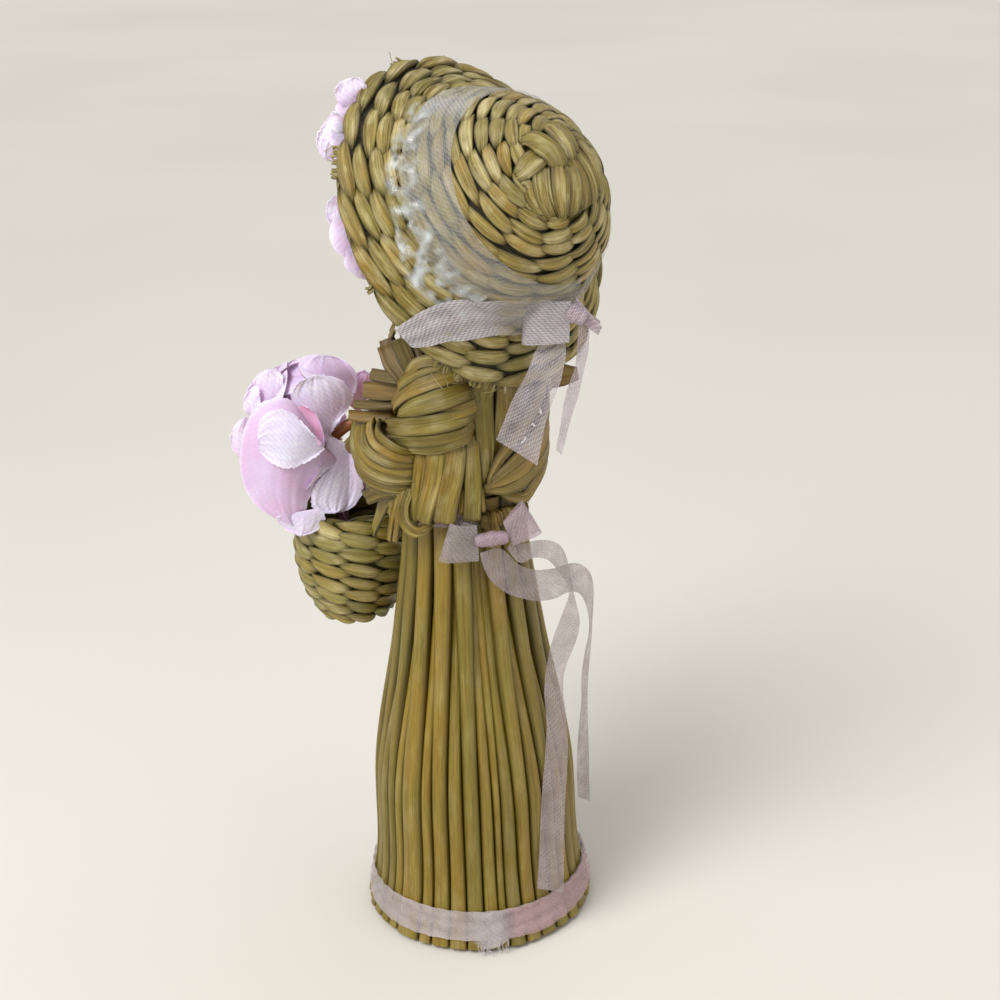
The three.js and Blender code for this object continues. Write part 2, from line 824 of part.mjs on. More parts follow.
function knotBall(centre, radius) {
  return new THREE.SphereGeometry(radius, 8, 6)
    .rotateX(Math.PI / 2)
    .translate(centre.x, centre.y, centre.z);
}

const upright = new THREE.Vector3(0, 0, 1);
const outAt = (angle) => polar(1, THREE.MathUtils.degToRad(angle), 0);

// Waist bow, at the back and a little to the left
const waistBowAngle = 72;
const waistKnot = polar(
  skirtedInner + 2 * strandRiseHeight + clearance + waistKnotRadius * 1.1,
  THREE.MathUtils.degToRad(waistBowAngle),
  waistHeight - waistRibbonWidth / 4,
);
const waistAlong = outAt(waistBowAngle - 90);

function fromWaistKnot(along, out, up) {
  return waistKnot
    .clone()
    .addScaledVector(waistAlong, along)
    .addScaledVector(outAt(waistBowAngle), out)
    .addScaledVector(upright, up);
}

// The waist tails rise in a small arch from the knot and then hang outside the skirt. A place
// is [angle, share of the waist's height, stand-off as a share of the ribbon's width, twist].
const rearLeft = outAt(45);

function hangingTail(placeShares, startShare) {
  const places = placeShares.map(([angle, height, standOff]) =>
    polar(
      skirtRadius(height * waistHeight) + standOff * waistRibbonWidth,
      THREE.MathUtils.degToRad(angle),
      height * waistHeight,
    ),
  );
  const start = fromWaistKnot(0, 0, startShare * waistKnotRadius);
  const twists = [0, ...placeShares.map(([, , , twist]) => twist)];
  return facingRibbon([start, ...places], rearLeft, twists, waistRibbonWidth * 0.85, 18);
}

const frontTailShares = [
  [85, 0.944, 0.73, 0],
  [105, 0.933, 0.9, -20],
  [126, 0.876, 0.9, -30],
  [131, 0.78, 0.75, 0],
  [130, 0.69, 0.7, 20],
  [122, 0.6, 0.42, -20],
  [107, 0.51, 0.42, 0],
  [98, 0.43, 0.42, 10],
  [90, 0.28, 0.38, 0],
  [84, 0.12, 0.4, 0],
];
const backTailShares = [
  [60, 0.925, 0.75, 20],
  [69, 0.872, 0.9, 0],
  [88, 0.829, 1, 0],
  [107, 0.822, 1.2, -20],
  [117, 0.85, 1.5, -20],
  [123, 0.82, 1.8, 30],
  [126, 0.7, 1.5, 40],
  [125, 0.53, 0.85, 50],
  [127, 0.36, 0.5, 40],
  [128, 0.25, 0.4, 40],
];

const waistBow = join([
  knotBall(waistKnot, waistKnotRadius),
  ribbonLoop(
    waistKnot,
    fromWaistKnot(waistLoopLength, 0, -waistKnotRadius * 0.6),
    upright,
    waistRibbonWidth,
    waistKnotRadius * 0.6,
  ),
  ribbonLoop(
    waistKnot,
    fromWaistKnot(-waistLoopLength * 0.85, waistKnotRadius, waistKnotRadius * 1.4),
    upright,
    waistRibbonWidth,
    waistKnotRadius * 0.6,
  ),
  hangingTail(frontTailShares, 0.3),
  hangingTail(backTailShares, -0.3),
]);
addPart("waist_bow", waistBow, colours.ribbon);

// Bonnet bow, on the band at the nape
const bonnetBowTurn = THREE.MathUtils.degToRad(-104);
const bonnetKnotAngle = junctionAngle - bandArc / 4;
const [knotAxial, knotRadial] = crownProfile(
  bonnetKnotAngle,
  -(stitchHeight + bandClearance + ribbonThickness + clearance + bonnetKnotRadius),
);
const bonnetKnot = bonnetPoint(knotAxial, knotRadial, bonnetBowTurn);
const bonnetOut = bonnetPoint(0, 1, bonnetBowTurn).sub(rimCentre).normalize();
const bonnetSide = bonnetAxis.clone().cross(bonnetOut).normalize();

function fromBonnetKnot(side, out, axial) {
  return bonnetKnot
    .clone()
    .addScaledVector(bonnetSide, side)
    .addScaledVector(bonnetOut, out)
    .addScaledVector(bonnetAxis, axial);
}

// The tails hang from the knot, clear of the rim at the nape. A place is, in ribbon widths, how
// far to the side of the knot, behind the rim and above the knot it is, and the ribbon's twist.
function bonnetTail(placeShares) {
  const side = outAt(-45);
  const back = outAt(90);
  const napeBack = bonnetPoint(0, rimHalfHeight, -Math.PI / 2).y - bonnetKnot.y;
  const places = placeShares.map(([along, out, rise]) =>
    bonnetKnot
      .clone()
      .addScaledVector(side, along * bonnetRibbonWidth)
      .addScaledVector(back, napeBack + out * bonnetRibbonWidth)
      .addScaledVector(upright, rise * bonnetRibbonWidth),
  );
  const start = bonnetKnot.clone().addScaledVector(side, placeShares[0][0] * bonnetKnotRadius);
  const twists = [0, ...placeShares.map(([, , , twist]) => twist)];
  return facingRibbon([start, ...places], rearLeft, twists, bonnetRibbonWidth * 0.9, 9);
}

const bonnetBow = join([
  knotBall(bonnetKnot, bonnetKnotRadius),
  ribbonLoop(
    bonnetKnot,
    fromBonnetKnot(bonnetLoopLength, bonnetKnotRadius, -bonnetKnotRadius),
    bonnetAxis,
    bonnetRibbonWidth * 0.8,
    bonnetKnotRadius * 0.5,
  ),
  ribbonLoop(
    bonnetKnot,
    fromBonnetKnot(-bonnetLoopLength * 0.7, bonnetKnotRadius * 1.5, bonnetKnotRadius),
    bonnetAxis,
    bonnetRibbonWidth * 0.8,
    bonnetKnotRadius * 0.5,
  ),
  bonnetTail([
    [0.47, 1.135, -0.5, 0],
    [0.93, 1.185, -1.27, 0],
    [1.64, 1.205, -2.57, 10],
  ]),
  bonnetTail([
    [-0.15, 0.665, -0.6, 60],
    [-0.31, 0.565, -1.66, 70],
    [0.19, 0.475, -2.8, 70],
  ]),
]);
addPart("bonnet_bow", bonnetBow, colours.ribbon);

// Petals and blossoms

// One cupped petal from its base along a direction, with its face turned towards facing
function petal(base, along, facing, length, cup) {
  const a = along.clone().normalize();
  const side = a.clone().cross(facing).normalize();
  const face = side.clone().cross(a).normalize();
  const rows = 4;
  const columns = 4;
  const grid = (offset) =>
    Array.from({ length: rows + 1 }, (_, i) =>
      Array.from({ length: columns + 1 }, (_, j) => {
        const u = i / rows;
        const v = (j / columns) * 2 - 1;
        const halfWidth = length * (0.12 + 0.4 * Math.sin(Math.PI * Math.min(1, 0.12 + u * 0.72)));
        const reach = length * (u - 0.14 * v * v * u);
        const cupped = cup * (0.9 * u * u - 0.8 * u + 0.35 * v * v * u);
        const lift = length * (cupped + 0.03 * Math.sin(3 * v + 5 * u));
        return base
          .clone()
          .addScaledVector(a, reach)
          .addScaledVector(side, halfWidth * v)
          .addScaledVector(face, lift + offset);
      }),
    );
  return shellSolid(grid(petalThickness / 2), grid(-petalThickness / 2), false);
}

// A blossom: a bud and its petals, each given as [direction shares, facing shares, length share]
function blossom(centre, budRadius, frame, petalShares, size, footShift) {
  const [right, up, near] = frame;
  const blend = ([x, y, z]) =>
    new THREE.Vector3().addScaledVector(right, x).addScaledVector(up, y).addScaledVector(near, z);
  const bud = new THREE.SphereGeometry(budRadius, 12, 8).translate(centre.x, centre.y, centre.z);
  const petals = petalShares.map(([direction, facing, lengthShare, cup]) => {
    const along = blend(direction).normalize();
    const base = centre.clone().addScaledVector(along, budRadius * 0.35);
    return petal(base, along, blend(facing), size * lengthShare, cup);
  });
  const foot = basketCentre
    .clone()
    .setZ(basketBottomHeight + basketWall + clearance)
    .addScaledVector(near, footShift * stalkDiameter);
  const bend = basketCentre.clone().setZ(basketTop).lerp(centre, 0.4);
  const stalk = roundRod([centre, bend, foot], stalkDiameter, 5);
  return join([bud, stalk, ...petals]);
}

// Directions as the basket is looked at from the left rear: right, up, near
const outOfBasket = new THREE.Vector3(Math.SQRT1_2, Math.SQRT1_2, 0);
const basketFrame = [handleAcross.clone().negate(), upright, outOfBasket];

function besideBasket(right, up, near) {
  const [r, u, n] = basketFrame;
  return basketCentre
    .clone()
    .setZ(basketTop)
    .addScaledVector(r, right * basketMouthRadius)
    .addScaledVector(u, up * basketMouthRadius)
    .addScaledVector(n, near * basketMouthRadius);
}

addPart(
  "basket_flower_front",
  blossom(
    besideBasket(-0.72, 0.95, 0.95),
    petalThickness * 5,
    basketFrame,
    [
      [[-0.5, 0.55, 0.35], [-0.2, 0.3, 1], 0.75, 0.3],
      [[0.8, -0.1, 0.1], [0.2, 0.1, 1], 0.72, 0.3],
      [[-0.95, -0.1, -0.2], [-0.6, 0.2, 0.8], 0.72, 0.4],
      [[-0.35, -0.9, 0.2], [-0.2, -0.4, 1], 0.68, 0.3],
      [[0.3, 0.8, -0.4], [0, 0.3, 1], 0.8, 0.3],
    ],
    largePetalLength,
    1,
  ),
  colours.petal,
  0.8,
);

addPart(
  "basket_flower_back",
  blossom(
    besideBasket(-0.1, 2.1, -0.55),
    petalThickness * 4,
    basketFrame,
    [
      [[0.2, 0.75, 0.3], [0, 0.1, 1], 0.72, 0.25],
      [[-0.9, 0.5, 0.1], [-0.4, 0.2, 1], 0.72, 0.3],
      [[0.8, 0.1, -0.4], [0.3, 0.2, 1], 0.62, 0.3],
      [[0.3, -0.95, -0.2], [0.4, 0, 0.9], 0.7, 0.2],
    ],
    largePetalLength,
    -1,
  ),
  colours.petal,
  0.8,
);

// Blossoms on the front of the brim, at its left side: cupped rosettes of five lobes
function rosette(centre, frame, radius) {
  const [right, up, near] = frame;
  const columns = 20;
  const rings = [0.16, 0.5, 0.8, 1];
  const ring = (share, side) =>
    Array.from({ length: columns }, (_, j) => {
      const turn = (j / columns) * 2 * Math.PI;
      const lobe = Math.abs(Math.cos(2.5 * turn));
      const reach = radius * share * (1 - 0.3 * share * (1 - lobe));
      const cupped = 0.3 * share * share * (lobe - 0.2) + 0.1 * (1 - share);
      const lift = radius * cupped + (side * petalThickness) / 2;
      return centre
        .clone()
        .addScaledVector(right, reach * Math.cos(turn))
        .addScaledVector(up, reach * Math.sin(turn))
        .addScaledVector(near, lift);
    });
  const front = rings.map((share) => ring(share, 1));
  const back = [...rings].reverse().map((share) => ring(share, -1));
  return ringSolid([...front, ...back]);
}

function brimBlossom(turn, inset, forward) {
  const angle = THREE.MathUtils.degToRad(turn);
  const centre = bonnetPoint(-forward, rimHalfWidth - inset, angle, rimHalfHeight / rimHalfWidth);
  const out = centre.clone().sub(bonnetPoint(-forward, 0, angle)).normalize();
  const around = bonnetAxis.clone().cross(out);
  return rosette(centre, [out, around, bonnetAxis.clone().negate()], smallPetalRadius);
}

const brimForward = stitchHeight + clearance + petalThickness;
addPart("brim_flower_upper", brimBlossom(50, smallPetalRadius * 0.58, brimForward), colours.petal, 0.8);
addPart("brim_flower_lower", brimBlossom(5, smallPetalRadius * 0.62, brimForward), colours.petal, 0.8);

export default group;
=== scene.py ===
import math

import bmesh
import bpy
import numpy as np
from mathutils import Matrix, Vector


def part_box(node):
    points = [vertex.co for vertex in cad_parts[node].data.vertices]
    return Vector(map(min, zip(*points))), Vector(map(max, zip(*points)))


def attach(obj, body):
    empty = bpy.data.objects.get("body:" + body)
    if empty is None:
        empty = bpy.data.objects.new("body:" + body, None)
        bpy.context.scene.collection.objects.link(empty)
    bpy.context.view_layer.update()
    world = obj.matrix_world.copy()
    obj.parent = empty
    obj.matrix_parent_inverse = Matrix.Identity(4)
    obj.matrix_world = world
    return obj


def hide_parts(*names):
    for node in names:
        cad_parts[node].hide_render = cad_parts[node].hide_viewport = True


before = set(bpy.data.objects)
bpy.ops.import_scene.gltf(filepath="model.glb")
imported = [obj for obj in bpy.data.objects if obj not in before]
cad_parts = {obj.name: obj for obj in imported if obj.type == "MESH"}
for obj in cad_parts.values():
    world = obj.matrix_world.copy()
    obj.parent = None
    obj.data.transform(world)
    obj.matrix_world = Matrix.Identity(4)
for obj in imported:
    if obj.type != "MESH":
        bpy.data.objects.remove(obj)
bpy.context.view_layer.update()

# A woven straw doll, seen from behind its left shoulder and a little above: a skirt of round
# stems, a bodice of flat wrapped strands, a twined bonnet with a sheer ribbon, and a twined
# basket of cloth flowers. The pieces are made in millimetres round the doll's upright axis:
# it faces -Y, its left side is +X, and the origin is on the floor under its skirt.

MM = 0.001
rng = np.random.default_rng(11)
UP = np.array([0.0, 0.0, 1.0])

# Skirt
RIM_RADIUS = 25
SKIRT_OUTLINE = [(RIM_RADIUS, 0), (23.4, 6), (21.2, 36), (15.9, 66), (12.6, 94), (12.6, 98)]
SKIRT_TOP = 98
STEM_SLOTS = 32
STEM_DEPTH = 3.3
STEM_TOP_DEPTH = 2.6
SEEN_STEMS_FROM = -3.0
SEEN_STEMS = [14.8, 7.2, 10.2, 9.3, 9.5, 8, 4.5, 8.7, 9, 10, 9.7]
HIDDEN_STEMS = 29

# Bodice
WAIST = 94
BODICE_TOP = 131
BODICE_HEIGHT = BODICE_TOP - WAIST
BODY_RADIUS = 13
ARM_RADIUS = 2.1
PUFF_RADIUS = 15.0
PUFF_RISE = 4.2
UPRIGHT_RADIUS = 15.2
RIGHT_WRAP_RADII = (15.4, 16.2, 17.0, 17.6)
PEPLUM_RADII = (15.6, 16.8)
PEPLUM_LEFT_RADII = (16.8, 17.8)
FRONT_MIDDLE = -92
STRAND_CREASES = 0.42

# Head and bonnet
HEAD_RADIUS = 16
BONNET_TILT = math.radians(28)
RIM_CENTRE = np.array([0, 6.3, 151.6])
RIM_HALF_WIDTH = 31
RIM_HALF_HEIGHT = 33.5
CROWN_RADIUS = 22.5
CROWN_DEPTH = 25
CROWN_OFFSET = 2.3
JUNCTION_OFFSET = 9
STAR_RADIUS = 8.4
CROWN_ROWS = 9
CROWN_STITCHES = 12
CROWN_START = -9
CROWN_TWIST = 4
CROWN_TWIST_FROM_ROW = 2
BRIM_ROWS = 5
BRIM_STITCHES = 20
BRIM_START = math.radians(10)
WEAVE_DEPTH = 0.9
# Thickness of the dark sheets behind the weaves, which paint the shade in their gaps
SHADE_SHEET_THICKNESS = 0.3

# Basket
BASKET_DISTANCE = 29.4
BASKET_ANGLE = math.radians(-74)
BASKET_BOTTOM = 63.5
BASKET_DEPTH = 20.5
BASKET_MOUTH = 11.2
BASKET_BELLY = 11.9
BASKET_FLOOR = 7.2
BASKET_ROWS = 8
WEAVE_HEIGHT = 24.6
WEAVE_SHIFT = 1.4
BASKET_STITCHES = 10
BASKET_START = 21
HANDLE_DIAMETER = 2.4
HANDLE_RISE = 19.5
HANDLE_GAP = 0.3

# Ribbons
RIBBON_THICKNESS = 0.16
RIBBON_THREAD = 0.5
GLUE_THICKNESS = 0.2
WAIST_RIBBON = 6.2
BONNET_BOW_CENTRE = np.array([-6.1, 29.4, 136.3])
HEM_RIBBON_BOTTOM = 3.5
HEM_RIBBON_WIDTH = 6.0

# Flowers
PETAL_THICKNESS = 0.22
HIDDEN_PETALS = 18
ROSETTE_PETALS = 5

# Camera
CAMERA_ANGLE = math.radians(135)
CAMERA_DISTANCE = 320
CAMERA_HEIGHT = 224
CAMERA_SIDE = 7.5
CAMERA_PITCH = math.radians(22.25)
CAMERA_ROLL = math.radians(-2)
PHOTO_WIDTH = 1000
FOCAL_PIXELS = 1700
SENSOR = 36

# Floor, in metres
FLOOR_HALF = 3.0


# Vectors, paths and outlines

def unit(vectors):
    vectors = np.asarray(vectors, float)
    return vectors / np.maximum(np.linalg.norm(vectors, axis=-1, keepdims=True), 1e-9)


def polar(radius, angle, height):
    radius, angle, height = np.broadcast_arrays(radius, angle, height)
    return np.stack([radius * np.cos(angle), radius * np.sin(angle), height], axis=-1).astype(float)


def smooth_step(low, high, value):
    share = np.clip((np.asarray(value, float) - low) / (high - low), 0, 1)
    return share * share * (3 - 2 * share)


def curve_through(places, count):
    """Evenly spread places along a smooth curve through the given ones."""
    places = np.asarray(places, float)
    reach = np.r_[0, np.cumsum(np.linalg.norm(np.diff(places[:, :3], axis=0), axis=1))]
    slope = np.gradient(places, reach, axis=0)
    at = np.linspace(0, reach[-1], count)
    i = np.clip(np.searchsorted(reach, at, side="right") - 1, 0, len(reach) - 2)
    span = (reach[i + 1] - reach[i])[:, None]
    u = (at - reach[i])[:, None] / span
    start = (2 * u**3 - 3 * u**2 + 1) * places[i] + (u**3 - 2 * u**2 + u) * span * slope[i]
    end = (3 * u**2 - 2 * u**3) * places[i + 1] + (u**3 - u**2) * span * slope[i + 1]
    return start + end


def wander(count, size, waves=3, closed=False):
    """A smooth random line of a few waves."""
    at = np.arange(count) / (count if closed else count - 1)
    line = np.zeros(count)
    for k in range(1, waves + 1):
        line += rng.normal() / k * np.sin(2 * math.pi * (k if closed else k * 0.7) * at + rng.uniform(0, 6.3))
    return size * line


# Meshes

class Bundle:
    """The skins of one piece, gathered before they become one mesh."""

    def __init__(self):
        self.points, self.faces, self.fibre, self.tone, self.shade = [], [], [], [], []
        self.count = 0

    def add(self, rings, fibre, tone, shade, closed=False):
        """A skin over closed rings of points, with a face over each end unless the rings join up."""
        n, sides = rings.shape[:2]
        index = self.count + np.arange(n * sides).reshape(n, sides)
        low = index if closed else index[:-1]
        high = np.roll(index, -1, 0) if closed else index[1:]
        quads = np.stack([low, np.roll(low, -1, 1), np.roll(high, -1, 1), high], axis=-1)
        self.faces.extend(quads.reshape(-1, 4).tolist())
        if not closed:
            self.faces.append(index[0, ::-1].tolist())
            self.faces.append(index[-1].tolist())
        self.points.append(rings.reshape(-1, 3))
        self.fibre.append(fibre.reshape(-1, 3))
        self.tone.append(np.broadcast_to(tone, (n, sides)).reshape(-1))
        self.shade.append(np.broadcast_to(shade, (n, sides)).reshape(-1))
        self.count += n * sides

    def build(self, name, material, slot, *nodes, sharp=math.radians(50)):
        mesh = bpy.data.meshes.new(name)
        mesh.from_pydata((np.concatenate(self.points) * MM).tolist(), [], self.faces)
        for key, kind, values in (
            ("fibre", "FLOAT_VECTOR", np.concatenate(self.fibre)),
            ("tone", "FLOAT", np.concatenate(self.tone)),
            ("shade", "FLOAT", np.concatenate(self.shade)),
        ):
            layer = mesh.attributes.new(key, kind, "POINT")
            layer.data.foreach_set("vector" if kind == "FLOAT_VECTOR" else "value", values.ravel())
        tidy = bmesh.new()
        tidy.from_mesh(mesh)
        bmesh.ops.recalc_face_normals(tidy, faces=tidy.faces)
        for edge in tidy.edges:
            edge.smooth = len(edge.link_faces) != 2 or edge.calc_face_angle() < sharp
        for face in tidy.faces:
            face.smooth = True
        tidy.to_mesh(mesh)
        tidy.free()
        mesh.materials.append(material)
        piece = bpy.data.objects.new(name, mesh)
        bpy.context.scene.collection.objects.link(piece)
        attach(piece, "root")
        if nodes:
            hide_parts(*nodes)
        return piece


def strand(bundle, path, facing, width, thickness, sides=14, closed=False,
           squareness=0.8, creases=0.12, tone=None, shade=1.0, edge_shade=0.35):
    """A flat or round strand along a path, its flat side turned to facing."""
    path = np.asarray(path, float)
    n = len(path)
    step = np.roll(path, -1, 0) - np.roll(path, 1, 0) if closed else np.gradient(path, axis=0)
    along = unit(step)
    across = unit(np.cross(np.broadcast_to(facing, path.shape), along))
    out = np.cross(along, across)
    width = np.broadcast_to(width, n)[:, None]
    thickness = np.broadcast_to(thickness, n)[:, None]
    turn = (np.arange(sides) + 0.5) / sides * 2 * math.pi
    y = np.sign(np.cos(turn)) * np.abs(np.cos(turn)) ** squareness
    z = np.sign(np.sin(turn)) * np.abs(np.sin(turn)) ** squareness
    groove = 1 - creases * rng.random(sides) * 2 * np.abs(np.sin(turn))
    y = width / 2 * y
    z = thickness / 2 * z * groove
    rings = path[:, None] + across[:, None] * y[..., None] + out[:, None] * z[..., None]
    length = np.r_[0, np.cumsum(np.linalg.norm(np.diff(path, axis=0), axis=1))]
    length = np.broadcast_to(length[:, None], y.shape)
    fibre = np.stack([length, y, z], axis=-1) + rng.uniform(0, 400, 3)
    if tone is None:
        tone = rng.random()
    # Darker towards the edges across the strand: painted shade where strands meet and tuck under their
    # neighbours.
    edge = np.abs(np.cos(turn)) ** 4
    shade = np.broadcast_to(shade, n)[:, None] * (1 - edge_shade * edge)
    bundle.add(rings, fibre, tone, shade, closed)


def sheet(bundle, grid, thickness, tone, shade=1.0, fibre=None):
    """A thin closed skin on both sides of a grid of points."""
    n, m = grid.shape[:2]
    along = np.gradient(grid, axis=0)
    across = np.gradient(grid, axis=1)
    normal = unit(np.cross(along, across))
    top = grid + normal * thickness / 2
    bottom = grid - normal * thickness / 2
    rings = np.concatenate([top, bottom[:, ::-1]], axis=1)
    if fibre is None:
        u = np.cumsum(np.r_[np.zeros((1, m)), np.linalg.norm(np.diff(grid, axis=0), axis=2)], axis=0)
        v = np.cumsum(np.c_[np.zeros((n, 1)), np.linalg.norm(np.diff(grid, axis=1), axis=2)], axis=1)
        middle = m // 2
        u = np.repeat(u[:, middle:middle + 1], m, axis=1)
        fibre = np.stack([u, v - v[:, middle:middle + 1], np.zeros_like(u)], axis=-1)
    fibre = np.concatenate([fibre, fibre[:, ::-1]], axis=1)
    tone = np.broadcast_to(tone, (n, m))
    shade = np.broadcast_to(shade, (n, m))
    bundle.add(
        rings, fibre,
        np.concatenate([tone, tone[:, ::-1]], axis=1),
        np.concatenate([shade, shade[:, ::-1]], axis=1),
    )


# Materials

def linear(colour):
    return tuple((c / 255) ** 2.2 for c in colour) + (1.0,)


class Nodes:
    """A short way to write a material's nodes."""

    def __init__(self, name):
        self.material = bpy.data.materials.new(name)
        self.material.use_nodes = True
        self.tree = self.material.node_tree
        self.shader = self.tree.nodes["Principled BSDF"]

    def add(self, kind, **settings):
        node = self.tree.nodes.new(kind)
        for key, value in settings.items():
            if hasattr(node, key):
                setattr(node, key, value)
            else:
                node.inputs[key].default_value = value
        return node

    def link(self, source, target):
        self.tree.links.new(source, target)

    def attribute(self, name):
        return self.add("ShaderNodeAttribute", attribute_name=name)

    def scaled(self, vector, scale):
        node = self.add("ShaderNodeMapping")
        node.inputs["Scale"].default_value = scale
        self.link(vector, node.inputs["Vector"])
        return node.outputs["Vector"]

    def noise(self, vector, detail=3, roughness=0.55, scale=1.0):
        node = self.add("ShaderNodeTexNoise", Scale=scale, Detail=detail, Roughness=roughness)
        self.link(vector, node.inputs["Vector"])
        return node.outputs["Fac"]

    def ramp(self, value, *stops):
        node = self.add("ShaderNodeValToRGB")
        ramp = node.color_ramp
        while len(ramp.elements) < len(stops):
            ramp.elements.new(0.5)
        for element, (place, colour) in zip(ramp.elements, stops):
            element.position = place
            element.color = linear(colour)
        self.link(value, node.inputs["Fac"])
        return node.outputs["Color"]

    def mix(self, share, a, b, blend="MIX"):
        node = self.add("ShaderNodeMix", data_type="RGBA", blend_type=blend)
        for socket, value in ((node.inputs[0], share), (node.inputs[6], a), (node.inputs[7], b)):
            if isinstance(value, (int, float, tuple)):
                socket.default_value = value
            else:
                self.link(value, socket)
        return node.outputs[2]

    def maths(self, operation, a, b=0.0, clamp=False):
        node = self.add("ShaderNodeMath", operation=operation, use_clamp=clamp)
        for socket, value in zip(node.inputs, (a, b)):
            if isinstance(value, (int, float)):
                socket.default_value = value
            else:
                self.link(value, socket)
        return node.outputs[0]

    def plus(self, a, b, clamp=False):
        return self.maths("ADD", a, b, clamp)

    def minus(self, a, b, clamp=False):
        return self.maths("SUBTRACT", a, b, clamp)

    def times(self, a, b, clamp=False):
        return self.maths("MULTIPLY", a, b, clamp)

    def dimmed(self, colour, brightness):
        """A colour times a brightness."""
        grey = self.add("ShaderNodeCombineColor")
        for socket in grey.inputs:
            self.link(brightness, socket)
        return self.mix(1.0, colour, grey.outputs[0], "MULTIPLY")

    def bump(self, *heights):
        """Bumps of (height, strength, distance in millimetres), one on the other."""
        before = None
        for height, strength, distance in heights:
            node = self.add("ShaderNodeBump", Strength=strength, Distance=distance * MM)
            self.link(height, node.inputs["Height"])
            if before is not None:
                self.link(before, node.inputs["Normal"])
            before = node.outputs["Normal"]
        self.link(before, self.shader.inputs["Normal"])

    def set(self, **values):
        for key, value in values.items():
            self.shader.inputs[key.replace("_", " ")].default_value = value


def straw_material(name, dark, middle, light, warm, green, speckle=0.6, ribs=0.8, rough=0.5,
                   bleach_and_highlight=0.5, threads=0.55):
    """Dried plant stems: long fibres, patches of warm and green, dark specks, fine ribs, and pale patches
    that are partly sun-bleaching and partly painted highlight.
    """
    n = Nodes(name)
    fibre = n.attribute("fibre").outputs["Vector"]
    tone = n.attribute("tone").outputs["Fac"]
    shade = n.attribute("shade").outputs["Fac"]
    streaks = n.noise(n.scaled(fibre, (0.05, 1.3, 1.3)), detail=5, roughness=0.65)
    colour = n.ramp(streaks, (0.3, dark), (0.5, middle), (0.72, light))
    patches = n.noise(n.scaled(fibre, (0.06, 0.12, 0.12)), detail=2)
    warmth = n.times(n.maths("GREATER_THAN", tone, 0.7), 0.22)
    warmth = n.plus(warmth, n.times(n.minus(patches, 0.5), 2.2), clamp=True)
    colour = n.mix(warmth, colour, linear(warm))
    greenness = n.times(n.minus(0.5, patches), 2.4, clamp=True)
    greenness = n.plus(greenness, n.times(n.maths("LESS_THAN", tone, 0.3), 0.3), clamp=True)
    colour = n.mix(greenness, colour, linear(green))
    # Pale patches, kept to where the shade attribute is high: partly sun-bleaching, partly a painted
    # highlight on the lit middles of strands.
    bleach_and_highlight_share = n.noise(n.scaled(fibre, (0.16, 0.35, 0.35)), detail=3)
    bleach_and_highlight_share = n.times(n.minus(bleach_and_highlight_share, 0.47), 5 * bleach_and_highlight, clamp=True)
    bleach_and_highlight_share = n.times(bleach_and_highlight_share, n.times(shade, shade), clamp=True)
    colour = n.mix(bleach_and_highlight_share, colour, linear((216, 203, 154)))
    fine = n.noise(n.scaled(fibre, (0.12, 7, 7)), detail=4, roughness=0.7)
    colour = n.mix(threads, colour, n.ramp(fine, (0.3, (120, 112, 88)), (0.62, (255, 255, 245))), "MULTIPLY")
    specks = n.noise(n.scaled(fibre, (1.5, 3.5, 3.5)), detail=2, roughness=0.8)
    specks = n.times(n.minus(0.36, specks), 9, clamp=True)
    colour = n.mix(n.times(specks, speckle), colour, linear((74, 56, 24)))
    # The shade attribute dims the colour: painted shade in the gaps, under other strands and at strand edges.
    bright = n.plus(0.86, n.times(tone, 0.24))
    colour = n.dimmed(colour, n.times(bright, shade))
    n.link(colour, n.shader.inputs["Base Color"])
    n.link(n.plus(rough - 0.12, n.times(fine, 0.25)), n.shader.inputs["Roughness"])
    broad = n.noise(n.scaled(fibre, (0.1, 2.2, 2.2)), detail=3)
    n.bump((broad, 0.7 * ribs, 0.35), (fine, 0.9 * ribs, 0.12))
    return n.material


def ribbon_material(name, colour, deep, alpha, texture=0.5):
    """Sheer woven ribbon: fine threads each way, with thin places between them."""
    n = Nodes(name)
    fibre = n.attribute("fibre").outputs["Vector"]
    tone = n.attribute("tone").outputs["Fac"]
    shade = n.attribute("shade").outputs["Fac"]
    wobble = n.add("ShaderNodeVectorMath", operation="ADD")
    haze = n.add("ShaderNodeTexNoise", Scale=0.7, Detail=2)
    n.link(fibre, haze.inputs["Vector"])
    n.link(fibre, wobble.inputs[0])
    n.link(n.scaled(haze.outputs["Color"], (0.5, 0.5, 0.0)), wobble.inputs[1])
    threads = []
    for axis, share in (("Y", 0.9), ("DIAGONAL", 1.0)):
        wave = n.add("ShaderNodeTexWave", wave_type="BANDS", bands_direction=axis)
        wave.inputs["Scale"].default_value = 2 * math.pi / (RIBBON_THREAD * share) / 20
        wave.inputs["Distortion"].default_value = 0.9
        n.link(wobble.outputs[0], wave.inputs["Vector"])
        threads.append(wave.outputs["Fac"])
    weave = n.times(n.plus(threads[0], threads[1]), 0.5)
    cloud = n.noise(n.scaled(fibre, (0.25, 0.25, 0.25)), detail=3)
    shine = n.ramp(weave, (0.2, (166, 162, 162)), (0.8, (255, 255, 255)))
    base = n.mix(tone, linear(colour), linear(deep))
    base = n.mix(texture, base, shine, "MULTIPLY")
    base = n.mix(n.times(cloud, 0.14), base, linear((226, 220, 222)))
    n.link(base, n.shader.inputs["Base Color"])
    cover = n.times(n.minus(weave, 0.5), texture)
    cover = n.plus(cover, n.times(n.minus(cloud, 0.5), 1.5))
    cover = n.times(n.times(shade, alpha), n.plus(cover, 1.0), clamp=True)
    n.link(cover, n.shader.inputs["Alpha"])
    n.set(Roughness=0.5, Sheen_Weight=0.4, Sheen_Roughness=0.4)
    n.bump((weave, 0.5, 0.1))
    return n.material


